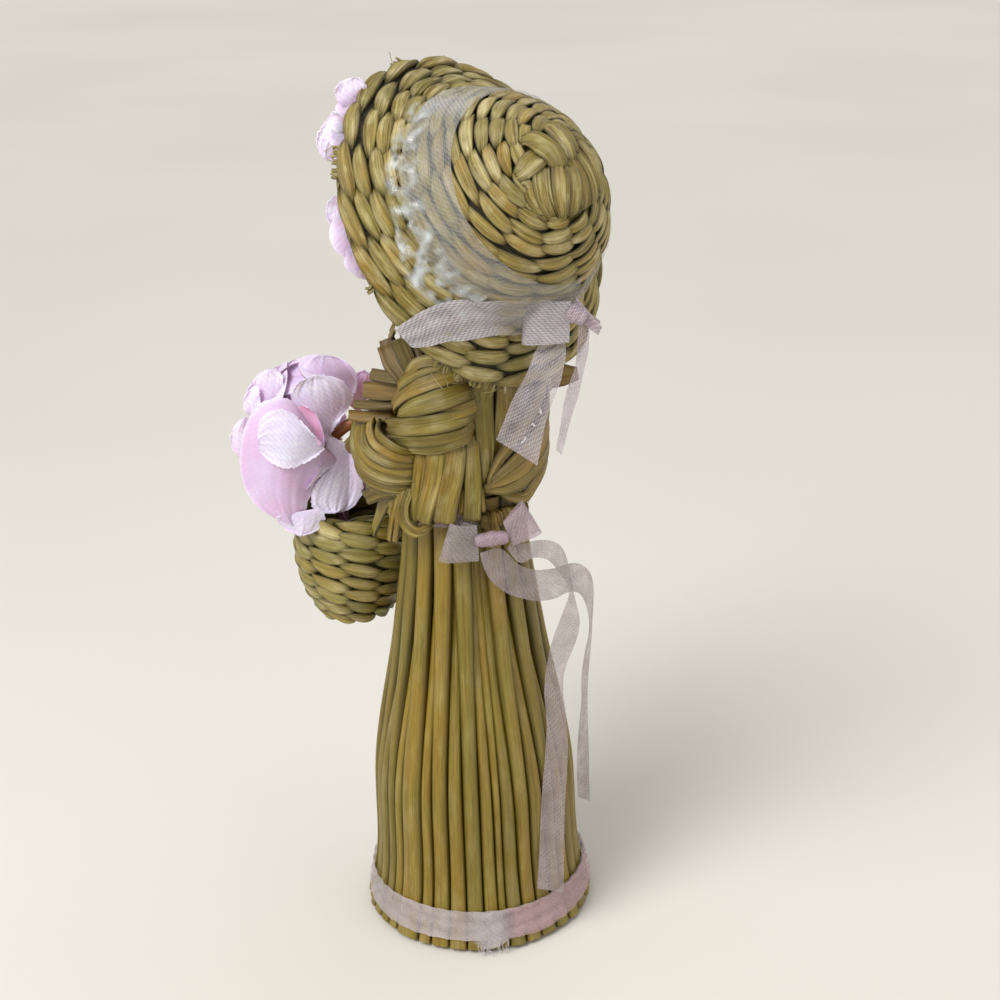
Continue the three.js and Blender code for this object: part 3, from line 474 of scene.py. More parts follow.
def petal_material(name):
    """Satin cloth petals: pale and sparkling outside, deep pink in the folds."""
    n = Nodes(name)
    fibre = n.attribute("fibre").outputs["Vector"]
    tone = n.attribute("tone").outputs["Fac"]
    shade = n.attribute("shade").outputs["Fac"]
    wave = n.add("ShaderNodeTexWave", wave_type="BANDS", bands_direction="DIAGONAL")
    wave.inputs["Scale"].default_value = 0.5
    wave.inputs["Distortion"].default_value = 5.0
    wave.inputs["Detail"].default_value = 3
    wave.inputs["Detail Scale"].default_value = 1.6
    n.link(fibre, wave.inputs["Vector"])
    weave = wave.outputs["Fac"]
    sparkle = n.noise(n.scaled(fibre, (1.5, 2.6, 2.6)), detail=2, roughness=0.7)
    cloud = n.noise(n.scaled(fibre, (0.12, 0.12, 0.12)), detail=3)
    depth = n.plus(tone, n.times(n.minus(cloud, 0.5), 0.7), clamp=True)
    base = n.ramp(depth, (0.0, (252, 240, 255)), (0.4, (226, 192, 224)), (1.0, (228, 160, 194)))
    plain = n.minus(1.0, n.times(tone, 1.35), clamp=True)
    glints = n.plus(n.times(weave, 0.25), sparkle)
    glints = n.ramp(glints, (0.4, (234, 216, 240)), (0.8, (255, 255, 255)))
    base = n.mix(n.times(plain, 0.7), base, glints, "MULTIPLY")
    n.link(n.dimmed(base, shade), n.shader.inputs["Base Color"])
    n.link(n.plus(0.3, n.times(sparkle, 0.4)), n.shader.inputs["Roughness"])
    n.set(Sheen_Weight=0.5, Sheen_Roughness=0.3, Subsurface_Weight=0.2, Subsurface_Scale=0.004)
    n.bump((n.times(weave, plain), 0.3, 0.08), (n.times(sparkle, plain), 0.5, 0.16))
    return n.material


def glue_material():
    """Clear dried glue, whiter where it is thick."""
    n = Nodes("glue")
    fibre = n.attribute("fibre").outputs["Vector"]
    shade = n.attribute("shade").outputs["Fac"]
    lumps = n.noise(n.scaled(fibre, (0.35, 0.35, 0.35)), detail=1, roughness=0.4)
    n.link(n.ramp(lumps, (0.3, (190, 196, 192)), (0.7, (218, 224, 224))), n.shader.inputs["Base Color"])
    cover = n.plus(0.06, n.times(n.minus(lumps, 0.46), 1.5), clamp=True)
    n.link(n.times(cover, shade), n.shader.inputs["Alpha"])
    n.set(Roughness=0.14, Coat_Weight=0.5, Coat_Roughness=0.08)
    n.bump((lumps, 0.7, 0.6))
    return n.material


def floor_material():
    n = Nodes("floor")
    place = n.add("ShaderNodeTexCoord").outputs["Object"]
    cloud = n.noise(place, detail=2, scale=3)
    n.link(n.ramp(cloud, (0.3, (218, 212, 202)), (0.7, (224, 219, 210))), n.shader.inputs["Base Color"])
    n.set(Roughness=0.9)
    return n.material


stem_straw = straw_material(
    "stem_straw", (110, 90, 24), (137, 116, 38), (156, 136, 56), (146, 116, 36), (133, 120, 44),
    speckle=0.6, ribs=0.45, rough=0.42, bleach_and_highlight=0.12)
wrap_straw = straw_material(
    "wrap_straw", (98, 79, 20), (140, 117, 38), (176, 156, 76), (154, 118, 36), (136, 126, 46),
    speckle=0.8, ribs=0.7, rough=0.45, bleach_and_highlight=0.3, threads=0.75)
weave_straw = straw_material(
    "weave_straw", (104, 85, 34), (160, 140, 70), (208, 192, 130), (172, 139, 62), (148, 140, 72),
    speckle=0.4, ribs=1.0, rough=0.5, bleach_and_highlight=0.8, threads=0.85)
# The basket's straw is darker than the bonnet's weave straw: painted shade, as the basket lies in shadow.
shaded_basket_straw = straw_material(
    "shaded_basket_straw", (112, 94, 38), (152, 136, 66), (186, 172, 112), (162, 134, 58), (148, 146, 76),
    speckle=0.5, ribs=0.6, rough=0.45, bleach_and_highlight=0.5)
brown_straw = straw_material(
    "brown_straw", (98, 76, 32), (138, 112, 50), (170, 144, 80), (152, 112, 46), (130, 116, 58),
    speckle=0.6, ribs=0.7, rough=0.5, bleach_and_highlight=0.1)
# Near-black straw for the stems inside the skirt: painted shade, as they are only seen in the gaps.
inner_shade_straw = straw_material(
    "inner_shade_straw", (50, 38, 18), (68, 52, 26), (90, 72, 38), (80, 54, 26), (64, 56, 30))
reed_finish = straw_material(
    "reed", (140, 82, 44), (172, 104, 56), (198, 136, 84), (180, 98, 48), (160, 104, 62),
    speckle=0.2, ribs=0.4, rough=0.35)
veil_cloth = ribbon_material("veil_cloth", (204, 203, 196), (194, 188, 180), 0.17)
bonnet_ribbon_cloth = ribbon_material("bonnet_ribbon_cloth", (200, 196, 198), (214, 180, 198), 0.56)
waist_ribbon_cloth = ribbon_material("waist_ribbon_cloth", (154, 147, 138), (204, 168, 188), 0.42, 0.3)
hem_ribbon_cloth = ribbon_material("hem_ribbon_cloth", (208, 200, 200), (206, 158, 160), 0.36, 0.14)
petal_cloth = petal_material("petal_cloth")
glue = glue_material()


# Skirt: forty stems, which crowd behind each other towards the waist

outline = curve_through([(radius, height, 0) for radius, height in SKIRT_OUTLINE], 120)


def skirt_radius(height):
    return np.interp(height, outline[:, 1], outline[:, 0])


def stem_widths():
    """Widths in degrees round the skirt, starting at SEEN_STEMS_FROM."""
    hidden = 1 + 0.16 * rng.standard_normal(HIDDEN_STEMS).clip(-1.6, 1.6)
    hidden *= (360 - sum(SEEN_STEMS)) / hidden.sum()
    return np.r_[SEEN_STEMS, hidden]


def skirt_stems():
    widths = stem_widths()
    edges = SEEN_STEMS_FROM + np.r_[0, np.cumsum(widths)]
    slots = {slot: Bundle() for slot in range(STEM_SLOTS)}
    height = np.linspace(0.6, SKIRT_TOP, 44)
    high = smooth_step(28, 84, height)
    for i, width in enumerate(widths):
        middle = (edges[i] + edges[i + 1]) / 2
        slot = int(middle % 360 // (360 / STEM_SLOTS))
        sinks = i % 2 == 1 or width < 6
        depth = STEM_DEPTH + (STEM_TOP_DEPTH - STEM_DEPTH) * high
        radius = skirt_radius(height) - depth / 2 - 0.1
        angle = math.radians(middle) + wander(len(height), 0.16, 2) * high / np.maximum(radius, 8)
        own = radius * math.radians(width)
        if sinks:
            radius = radius - 2.1 * high
            across = own * (1 - high) + 2.7 * high
        else:
            across = own * (1 - high) + 3.75 * high
            radius = radius + 0.12 * high
        radius = radius + wander(len(height), 0.12, 2)
        across = across * (1.0 + wander(len(height), 0.02, 3)) - 0.05
        path = polar(radius, angle, height)
        foot = (0.5 + 0.42 * smooth_step(4, 26, height))[:, None]
        strand(slots[slot], path, polar(1, angle, 0), across, np.minimum(depth, across * 1.1), sides=22,
               squareness=foot, creases=0.05, edge_shade=0.6)
    for slot, bundle in slots.items():
        name = f"{slot + 1:02d}"
        bundle.build(f"stem_{name}", stem_straw, "stem", f"skirt_stem_{name}")


skirt_stems()


# Twined weave: two strands to a row, which cross in front of and behind each upright in turn.
# Each stitch is a leaf of folded strand that comes up from under the one before it.

def leaf(bundle, place, middle, span, width, thickness, slant, rise, side=1, sides=20, edge_shade=0.6):
    """One stitch round middle: place(angles) gives the row's line, the way out and the way across."""
    s = np.linspace(-1, 1, 17)
    skew = rng.uniform(-0.12, 0.12)
    line, out, over = place(middle + s * span / 2)
    lift = side * (rise * (1 - np.abs(s) ** 2.3) - 0.55 * rise * smooth_step(0.72, 1.0, np.abs(s)))
    shift = slant * np.sin(1.3 * s) + 0.05 * width * rng.standard_normal()
    path = line + out * lift[:, None] + over * shift[:, None]
    belly = 1 - np.abs(s + skew * (1 - s * s)) ** 2.0
    broad = width * (1 + 0.07 * rng.standard_normal()) * np.maximum(belly, 0.02) ** 0.8
    roll = side * 0.35 * np.sin(1.3 * s) + rng.uniform(-0.12, 0.12)
    facing = side * out + over * roll[:, None]
    shade = 0.14 + 0.88 * smooth_step(1.0, 0.45, np.abs(s))
    strand(bundle, path, facing, broad, thickness * (0.4 + 0.6 * broad / width), sides=sides,
           creases=STRAND_CREASES, tone=0.9 * rng.random(), shade=shade * (0.85 + 0.15 * side),
           edge_shade=edge_shade)


def leaf_row(bundle, place, stitches, start, width, thickness, slant, rise, length=1.4, edge_shade=0.6):
    """A whole row: leaves outside, and between them the leaves of the other strand inside."""
    pitch = 2 * math.pi / stitches
    for k in range(stitches):
        nudge = 0.03 * rng.standard_normal()
        span = pitch * length * (1 + 0.06 * rng.standard_normal())
        leaf(bundle, place, start + pitch * (k + nudge), span, width, thickness,
             slant * (1 + 0.2 * rng.standard_normal()), rise, edge_shade=edge_shade)
        leaf(bundle, place, start + pitch * (k + 0.5), span, width * 0.95, thickness * 0.8, slant,
             rise * 0.7, side=-1, sides=12)


# Bonnet

bonnet_axis = np.array([0, math.cos(BONNET_TILT), math.sin(BONNET_TILT)])
bonnet_up = np.array([0, -math.sin(BONNET_TILT), math.cos(BONNET_TILT)])
bonnet_side = np.array([1.0, 0, 0])


def bonnet_point(axial, radial, angle, stretch=1.0):
    axial, radial, angle, stretch = np.broadcast_arrays(axial, radial, angle, stretch)
    return (
        RIM_CENTRE
        + axial[..., None] * bonnet_axis
        + (radial * stretch * np.sin(angle))[..., None] * bonnet_up
        + (radial * np.cos(angle))[..., None] * bonnet_side
    )


def bonnet_radial(angle):
    return bonnet_point(0, 1, angle) - RIM_CENTRE


junction_angle = math.acos((JUNCTION_OFFSET - CROWN_OFFSET) / CROWN_DEPTH)
junction_radius = CROWN_RADIUS * math.sin(junction_angle)
star_angle = math.asin(STAR_RADIUS / CROWN_RADIUS)


def crown_place(polar_angle, angle, lift=0.0):
    """A place on the crown, the way out of it, and the way along it from the pole."""
    polar_angle, angle, lift = np.broadcast_arrays(polar_angle, angle, lift)
    radial = bonnet_radial(angle)
    out = unit(
        (np.cos(polar_angle) / CROWN_DEPTH)[..., None] * bonnet_axis
        + (np.sin(polar_angle) / CROWN_RADIUS)[..., None] * radial
    )
    point = bonnet_point(
        CROWN_OFFSET + CROWN_DEPTH * np.cos(polar_angle), CROWN_RADIUS * np.sin(polar_angle), angle)
    over = unit(
        (-CROWN_DEPTH * np.sin(polar_angle))[..., None] * bonnet_axis
        + (CROWN_RADIUS * np.cos(polar_angle))[..., None] * radial
    )
    return point + out * lift[..., None], out, over


def brim_place(share, angle, lift=0.0):
    """A place on the brim, from the junction at 0 to the rim at 1."""
    share, angle, lift = np.broadcast_arrays(share, angle, lift)
    flare = share * share * 0.35 + share * 0.65
    axial = JUNCTION_OFFSET * (1 - share)
    radial = junction_radius + (RIM_HALF_WIDTH - junction_radius) * flare
    stretch = 1 + (RIM_HALF_HEIGHT / RIM_HALF_WIDTH - 1) * share
    slope = math.atan2(JUNCTION_OFFSET, RIM_HALF_WIDTH - junction_radius)
    out = unit(math.cos(slope) * bonnet_axis + math.sin(slope) * bonnet_radial(angle))
    over = unit(math.cos(slope) * bonnet_radial(angle) - math.sin(slope) * bonnet_axis)
    return bonnet_point(axial, radial, angle, stretch) + out * lift[..., None], out, over


def crown():
    """Rows of stitches that turn a little from row to row, their darkened uprights, and a dark sheet behind
    them that paints the shade in the gaps.
    """
    bundle = Bundle()
    step = (junction_angle - star_angle) / CROWN_ROWS
    pitch = CROWN_RADIUS * step
    for row in range(CROWN_ROWS):
        polar_angle = star_angle + step * (row + 0.5)

        def place(angle, polar_angle=polar_angle):
            return crown_place(polar_angle + wander(len(angle), 0.004, 2), angle, -WEAVE_DEPTH)

        start = math.radians(CROWN_START - CROWN_TWIST * (row - CROWN_TWIST_FROM_ROW))
        leaf_row(bundle, place, CROWN_STITCHES, start, pitch * 1.16, 1.1, pitch * 0.5, 1.05, edge_shade=0.85)
    for k in range(CROWN_STITCHES):
        polar_angle = np.linspace(star_angle * 0.8, junction_angle + 0.05, 30)
        rows = (polar_angle - star_angle) / step - CROWN_TWIST_FROM_ROW
        turn = math.radians(CROWN_START + 360 / CROWN_STITCHES * k) - math.radians(CROWN_TWIST) * rows
        point, out, _ = crown_place(polar_angle, turn, -WEAVE_DEPTH - 0.2)
        strand(bundle, point, out, 3.0, 0.9, sides=10, shade=0.14)
    turn = np.linspace(0, 2 * math.pi, 97)[:, None]
    polar_angle = np.linspace(star_angle * 0.4, junction_angle + 0.03, 24)
    ground, _, _ = crown_place(polar_angle, turn, -WEAVE_DEPTH - 0.1)
    sheet(bundle, ground, SHADE_SHEET_THICKNESS, 0.5, 0.1)
    bundle.build("crown_weave", weave_straw, "straw", "bonnet_crown")


# The plain ground of the star: the square of its radius, and how far apart its strands lie
STAR_GROUND_SQUARE = 94
STAR_GROUND_PITCH = 3.6
# The star's strands: places in millimetres from the pole, to its left side and up, with the
# strand's width there, and how high it lies, roughly from the lowest to the one on top
STAR_LEAVES = [
    ([(8.2, 0.6, 2.4), (9.0, -2.6, 2.8), (8.4, -5.0, 2.6), (6.4, -8.6, 1.6)], 0.25),
    ([(4.9, 2.4, 3.0), (6.4, -0.5, 3.6), (7.0, -3.6, 3.4), (5.6, -8.8, 2.2)], 0.45),
    ([(-3.0, 4.2, 2.6), (-4.8, -0.8, 3.2), (-5.3, -4.2, 3.0), (-3.8, -8.6, 1.8)], 0.3),
    ([(-6.2, 5.6, 2.4), (-8.0, 1.0, 3.2), (-8.0, -3.0, 3.2), (-6.0, -7.0, 2.0)], 0.25),
    ([(-0.3, 2.6, 2.6), (-1.4, -0.9, 3.2), (-1.9, -3.8, 3.2), (-1.2, -8.4, 2.2)], 0.5),
    ([(3.6, 3.6, 3.2), (7.6, 2.4, 3.9), (9.6, 1.5, 3.0), (11.0, 1.2, 1.4)], 0.55),
    ([(-7.2, 6.6, 2.0), (-3.4, 7.2, 3.2), (-0.6, 8.4, 3.0), (1.6, 9.4, 1.6)], 0.4),
    ([(-2.6, 1.8, 2.8), (-2.9, 4.4, 3.2), (-2.9, 6.8, 3.2), (-1.8, 8.8, 2.8)], 0.75),
    ([(-0.7, 0.6, 2.8), (-1.0, 3.6, 3.6), (-0.5, 6.4, 3.4), (-0.4, 9.0, 3.0)], 0.9),
    ([(2.5, -0.8, 3.8), (2.7, 2.8, 4.6), (4.2, 5.4, 4.6), (7.2, 7.4, 0.8)], 1.0),
    ([(0.0, 0.8, 2.4), (0.5, -1.8, 3.4), (1.4, -4.8, 3.2), (2.5, -8.6, 1.4)], 1.2),
    ([(2.4, 1.2, 2.8), (3.5, -1.6, 3.7), (4.4, -4.6, 3.3), (4.4, -8.6, 1.4)], 1.45),
]


def crown_star():
    """Broad strands that cross at the pole, over a plain woven ground."""
    bundle = Bundle()

    def on_crown(u, v, lift):
        return crown_place(np.hypot(u, v) / CROWN_RADIUS, np.arctan2(v, u), lift)

    for direction in (0, 1):
        for i in range(-2, 3):
            s = np.linspace(-1, 1, 30) * math.sqrt(STAR_GROUND_SQUARE - (STAR_GROUND_PITCH * i) ** 2)
            beside = STAR_GROUND_PITCH * i + 0 * s
            u, v = (s, beside) if direction else (beside, s)
            weave = np.cos(math.pi * (s / STAR_GROUND_PITCH + i + direction))
            point, out, _ = on_crown(u, v, -WEAVE_DEPTH + 0.35 * weave)
            strand(bundle, point, out, 3.8, 0.7, creases=0.3, shade=0.55, edge_shade=0.6)
    for places, height in STAR_LEAVES:
        line = curve_through(places, 30)
        share = np.linspace(0, 1, 30)
        dip = 1.9 * (smooth_step(0.12, 0, share) + smooth_step(0.84, 1, share))
        lift = height * (0.55 + 0.45 * np.sin(math.pi * share)) - dip
        point, out, _ = on_crown(line[:, 0], line[:, 1], lift)
        shade = 0.35 + 0.7 * np.sin(math.pi * share) ** 0.6
        strand(bundle, point, out, line[:, 2] * 1.05, 0.95, sides=30, creases=0.6, shade=shade,
               squareness=0.68, tone=0.3 + 0.4 * rng.random(), edge_shade=0.7)
    bundle.build("crown_star", weave_straw, "straw")


# Where cut ends stand on the rim, as degrees, share of the brim and number
RIM_ENDS = (
    (31, 0.98, 10), (-50, 0.98, 12), (-67, 0.98, 14), (84, 0.97, 4), (108, 0.97, 4), (150, 0.97, 5),
    (-120, 0.97, 5), (-12, 0.98, 3),
)
# Where a new strand is wound in, as degrees and share of the brim
BRIM_KNOTS = ((22, 0.2), (-18, 0.17), (40, 0.05))


def brim():
    bundle = Bundle()
    slope_length = math.hypot(JUNCTION_OFFSET, RIM_HALF_WIDTH - junction_radius)
    pitch = slope_length / BRIM_ROWS
    for row in range(BRIM_ROWS):
        share = 0.06 + row / BRIM_ROWS

        def place(angle, share=share):
            return brim_place(share + wander(len(angle), 0.003, 2), angle, -WEAVE_DEPTH)

        leaf_row(bundle, place, BRIM_STITCHES, BRIM_START, pitch * 1.12, 1.8, pitch * 0.34, 0.95,
                 length=1.5)
    for i in range(BRIM_STITCHES):
        angle = BRIM_START + 2 * math.pi * i / BRIM_STITCHES
        share = np.linspace(-0.02, 0.93, 12)
        point, out, _ = brim_place(share, angle + wander(12, 0.01, 1), -WEAVE_DEPTH - 0.1)
        strand(bundle, point, out, 3.6, 0.9, sides=10, shade=0.16)
    for degrees, share, count in RIM_ENDS:
        frayed_ends(bundle, math.radians(degrees), share, count)
    for degrees, share in BRIM_KNOTS:
        wrapped_knot(bundle, math.radians(degrees), share)
    # A dark sheet under the brim's weave, which paints the shade in the gaps between stitches.
    turn = np.linspace(0, 2 * math.pi, 97)[:, None]
    ground, _, _ = brim_place(np.linspace(-0.02, 0.9, 16), turn, -WEAVE_DEPTH - 0.1)
    sheet(bundle, ground, SHADE_SHEET_THICKNESS, 0.5, 0.1)
    bundle.build("brim_weave", weave_straw, "straw", "bonnet_brim")


def frayed_ends(bundle, angle, share, count):
    """Cut ends of the uprights, folded over the rim and bundled there."""
    for i in range(count):
        turn = angle + 0.02 * (i - count / 2) + 0.006 * rng.standard_normal()
        reach = np.linspace(share - 0.05, share + 0.02 + 0.03 * rng.random(), 7)
        turned = turn + wander(7, 0.006, 1)
        lift = -WEAVE_DEPTH + 0.9 * rng.standard_normal() * 0.4
        point, out, _ = brim_place(reach, turned, lift)
        strand(bundle, point, out, np.linspace(0.6, 0.5, 7), 0.45, sides=8, tone=0.4 * rng.random())
    for i in range(count // 4):
        reach = np.linspace(share, share + 0.14 * rng.random() + 0.08, 9)
        turn = angle + 0.03 * rng.standard_normal() + wander(9, 0.03, 1)
        point, out, _ = brim_place(reach, turn, -0.6 + wander(9, 0.5, 1))
        strand(bundle, point, out, 0.14, 0.1, sides=5, tone=0.2)


def wrapped_knot(bundle, angle, share):
    """A thin strand wound round an upright where a new strand begins."""
    for i in range(6):
        turn = np.linspace(-0.045, 0.045, 7)
        reach = share + 0.014 * (i - 2.5)
        point, out, _ = brim_place(reach, angle + turn, 0.55 - 130 * turn**2)
        strand(bundle, point, out, 0.4, 0.5, sides=8, tone=0.3)


crown()
crown_star()
brim()


# Head: a ball covered with a husk that is gathered at the neck

def head():
    bundle = Bundle()
    low, high = (np.array(corner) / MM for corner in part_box("head"))
    centre = (low + high) / 2
    down = np.linspace(0.02, math.pi - 0.02, 40)
    around = np.arange(72) / 72 * 2 * math.pi
    folds = 0.22 * np.sin(23 * around) * smooth_step(1.5, 3.0, down)[:, None]
    folds = folds + 0.05 * np.sin(37 * around + 1)
    radius = HEAD_RADIUS - 0.25 + folds
    x = radius * np.sin(down)[:, None] * np.cos(around)
    y = radius * np.sin(down)[:, None] * np.sin(around)
    z = radius * np.cos(down)[:, None] * np.ones_like(around)
    rings = centre + np.stack([x, y, z], axis=-1)
    fibre = np.stack([np.broadcast_to(down[:, None] * HEAD_RADIUS, x.shape), x, y], axis=-1)
    bundle.add(rings, fibre, 0.5, 1.0)
    bundle.build("head_husk", wrap_straw, "head", "head")


head()


# Places as the photograph shows them: each is found along the camera's line through a pixel

camera_back = np.array([math.sin(CAMERA_ANGLE), -math.cos(CAMERA_ANGLE), 0])
camera_right = np.array([math.cos(CAMERA_ANGLE), math.sin(CAMERA_ANGLE), 0])
camera_place = camera_back * CAMERA_DISTANCE + camera_right * CAMERA_SIDE + UP * CAMERA_HEIGHT
camera_forward = -camera_back * math.cos(CAMERA_PITCH) - UP * math.sin(CAMERA_PITCH)
camera_up = -camera_back * math.sin(CAMERA_PITCH) + UP * math.cos(CAMERA_PITCH)
camera_x = camera_right * math.cos(CAMERA_ROLL) + camera_up * math.sin(CAMERA_ROLL)
camera_y = camera_up * math.cos(CAMERA_ROLL) - camera_right * math.sin(CAMERA_ROLL)


def sight(x, y):
    middle = PHOTO_WIDTH / 2
    return camera_forward * FOCAL_PIXELS + camera_x * (x - middle) - camera_y * (y - middle)


def on_round(x, y, radius):
    """Where the line through a pixel meets an upright cylinder round the doll's axis."""
    line = sight(x, y)
    a = line[:2] @ line[:2]
    b = line[:2] @ camera_place[:2]
    c = camera_place[:2] @ camera_place[:2] - radius**2
    return camera_place + line * (-b - math.sqrt(max(b * b - a * c, 0))) / a


def at_depth(x, y, near):
    """Where the line through a pixel is so near to the camera, from the doll's axis."""
    line = sight(x, y)
    return camera_place + line * (near - camera_place @ camera_back) / (line @ camera_back)


def laid(bundle, places, widths, facing, rise=0.0, tuck=(1.0, 1.0), thickness=0.95, fold=0.0,
         steps=34, shade=1.0):
    """A flat strand through places, whose ends sink by tuck or fold under at the last place."""
    path = curve_through(places, steps)
    if callable(facing):
        out = unit(facing(path))
    else:
        out = unit(np.broadcast_to(np.asarray(facing, float), path.shape))
    share = np.linspace(0, 1, steps)
    sink = tuck[0] * (1 - smooth_step(0, 0.13, share)) + tuck[1] * smooth_step(0.87, 1, share)
    path = path + out * (rise - sink)[:, None] + out * wander(steps, 0.06, 2)[:, None]
    broad = np.interp(share, np.linspace(0, 1, len(widths)), widths) * (1 + wander(steps, 0.025, 3))
    if fold:
        ahead = unit(path[-1] - path[-2])
        turn = np.linspace(0.25, math.pi * 0.9, 7)[:, None]
        bend = path[-1] + fold * (ahead * np.sin(turn) - out[-1] * (1 - np.cos(turn)))
        path = np.concatenate([path, bend])
        broad = np.r_[broad, broad[-1] * np.linspace(1, 0.85, 7)]
        facing_in = out[-1] * np.cos(turn) + ahead * np.sin(turn)
        out = np.concatenate([out, facing_in])
        shade = shade * (1 - 0.35 * smooth_step(0.55, 1.0, np.linspace(0, 1, len(path))))
    strand(bundle, path, out, broad, thickness, sides=26, creases=STRAND_CREASES, squareness=0.6,
           shade=shade, edge_shade=0.75)


def radially(path):
    """The way out from the doll's axis."""
    return path * [1, 1, 0]


# Bodice: flat strands laid over each other. Each is a list of places in the photograph's
# pixels, with its widths in millimetres, from the strands that lie lowest to the ones on top.
# A third number in a place is how near the camera it is, in millimetres from the doll's axis,
# and the number after a strand's widths is its shade, or in the right wraps its height in front.

SLEEVE_SEEN = [
    ([(404, 378), (417, 363), (433, 360), (450, 364)], [2.0, 3.0, 3.0, 2.2]),
    ([(395, 390), (409, 376), (428, 368), (450, 366)], [1.8, 2.8, 3.0, 2.4]),
    ([(389, 412), (401, 395), (420, 385), (441, 378), (468, 372)], [0.9, 3.2, 3.6, 3.6, 2.8]),
    ([(440, 417), (459, 410), (479, 402)], [2.6, 3.6, 3.4]),
    ([(395, 416), (416, 407), (442, 399), (476, 386)], [0.9, 3.6, 4.4, 3.6]),
    ([(387, 439), (409, 448), (435, 449), (460, 442), (479, 431)], [1.0, 2.0, 2.3, 2.1, 1.8]),
    ([(382, 434), (410, 440), (438, 438), (459, 433), (479, 422)], [1.4, 2.7, 3.1, 2.8, 2.4]),
    ([(384, 426), (414, 426), (438, 423), (458, 418), (479, 409)], [2.8, 3.8, 4.0, 3.7, 3.0]),
]
PEPLUM_SEEN = [
    ([(462, 490), (461, 512)], [1.2, 1.0]),
    ([(482, 488), (484, 509)], [1.3, 1.0]),
    ([(422, 449), (418, 480), (414, 505), (412, 518)], [2.8, 2.9, 2.7, 2.6]),
    ([(472, 437), (473, 470), (473, 500), (472, 517)], [2.4, 3.1, 3.4, 3.5]),
    ([(457, 442), (452, 480), (447, 505), (445, 520)], [4.0, 4.4, 4.6, 4.5]),
    ([(438, 445), (434, 480), (428, 505), (425, 519)], [4.0, 4.1, 3.8, 3.5]),
]
PEPLUM_LOOP_SEEN = [
    (408, 494, 13), (402, 512, 14), (405, 527, 14.5), (415, 534, 14.5), (427, 528, 14), (434, 517, 13)]
PEPLUM_LEFT_SEEN = [
    ([(391, 488), (381, 510), (374, 530)], [3.2, 3.5, 3.4]),
    ([(401, 490), (394, 516), (390, 540)], [1.6, 1.7, 1.6]),
    ([(405, 492), (400, 516), (397, 541)], [1.5, 1.6, 1.5]),
]
UPRIGHTS_SEEN = [
    ([(518, 384), (513, 430), (502, 466), (490, 486)], [3.4, 3.4, 2.6, 1.0]),
    ([(505, 380), (503, 420), (499, 455), (488, 486)], [3.8, 4.0, 3.2, 1.1]),
    ([(482, 376), (483, 410), (486, 450), (486, 485)], [4.4, 4.2, 3.8, 1.2]),
]
RIGHT_WRAPS_SEEN = [
    ([(500, 490), (513, 497), (526, 497), (534, 486)], [1.8, 2.8, 3.0, 2.4], 104),
    ([(485, 491), (508, 489), (524, 481), (537, 468)], [1.3, 3.0, 3.4, 3.2], 108),
    ([(485, 488), (505, 480), (522, 470), (540, 448)], [1.3, 3.2, 3.6, 3.6], 113),
    ([(486, 486), (502, 472), (518, 457), (542, 424)], [1.1, 3.0, 3.6, 3.6], 118),
    ([(488, 484), (497, 462), (508, 446), (530, 412)], [1.1, 3.0, 3.4, 3.2], 122),
]
ELBOW_SEEN = [
    ([(396, 490, 12), (380, 492, 9), (364, 499, 7)], [3.0, 3.4, 3.0], 0.55),
    ([(420, 491, 11), (390, 490, 10), (366, 484, 7)], [2.8, 3.2, 2.4], 0.7),
    ([(421, 486, 11.5), (390, 485, 11), (366, 474, 7), (357, 456, 4)], [3.0, 3.4, 3.0, 2.4], 0.8),
    ([(421, 478, 12), (388, 478, 12), (363, 464, 7.5), (356, 446, 3.5), (357, 418, -1)],
     [2.4, 2.6, 2.6, 2.4, 2], 1),
    ([(422, 471, 12), (393, 471, 12.5), (368, 459, 8.5), (360, 444, 5), (361, 418, 0)],
     [2, 2.3, 2.3, 2.2, 2], 1),
    ([(422, 465, 12), (391, 462, 13), (370, 450, 9.5), (365, 438, 6), (367, 418, 1)],
     [2, 2.2, 2.2, 2, 2], 0.95),
    ([(422, 459, 12), (394, 454, 13.5), (376, 443, 10.5), (371, 430, 7), (373, 416, 2)],
     [1.9, 2.1, 2.1, 2, 2], 1),
    ([(421, 453, 12), (397, 447, 14), (383, 437, 12), (379, 422, 5)], [1.7, 1.8, 1.8, 1.6], 1),
]
COLLAR_SEEN = [
    ([(420, 366, 11), (410, 344, 9), (403, 327, 7)], [3.0, 3.0, 2.2], 0.7),
    ([(397, 415, 4), (372, 417, 3.6), (349, 415, 1)], [2.4, 2.7, 2.2], 1.0),
    ([(399, 404, 6), (373, 405, 4), (355, 404, 1)], [2.0, 2.2, 1.8], 0.75),
    ([(405, 392, 8), (383, 391, 5), (364, 390, 2)], [3.2, 3.8, 3.4], 0.9),
    ([(408, 380, 9.5), (388, 377, 7), (371, 374, 3)], [2.2, 2.6, 2.2], 0.7),
    ([(406, 381, 9), (393, 362, 7), (385, 345, 5)], [3.2, 4.2, 3.2], 0.95),
    ([(416, 380, 11), (406, 358, 10), (398, 339, 9)], [2.6, 3.4, 3.3], 0.9),
]
# The strand end that shows at the right shoulder, and how near the camera it is
RIGHT_END_SEEN = [(536, 374), (556, 375), (572, 374), (578, 373)]
RIGHT_END_NEAR = -9
LEFT = np.array([1.0, 1.0, 1.0])
RIGHT = np.array([-1.0, 1.0, 1.0])
SLEEVE_MIDDLE = (432, 412)
SLEEVE_HALF = (56, 52)


def puffed(x, y):
    """The radius of the sleeve's puff at a pixel."""
    u = (x - SLEEVE_MIDDLE[0]) / SLEEVE_HALF[0]
    v = (y - SLEEVE_MIDDLE[1]) / SLEEVE_HALF[1]
    return PUFF_RADIUS + PUFF_RISE * max(0.0, 1 - u * u) * max(0.0, 1 - v * v)


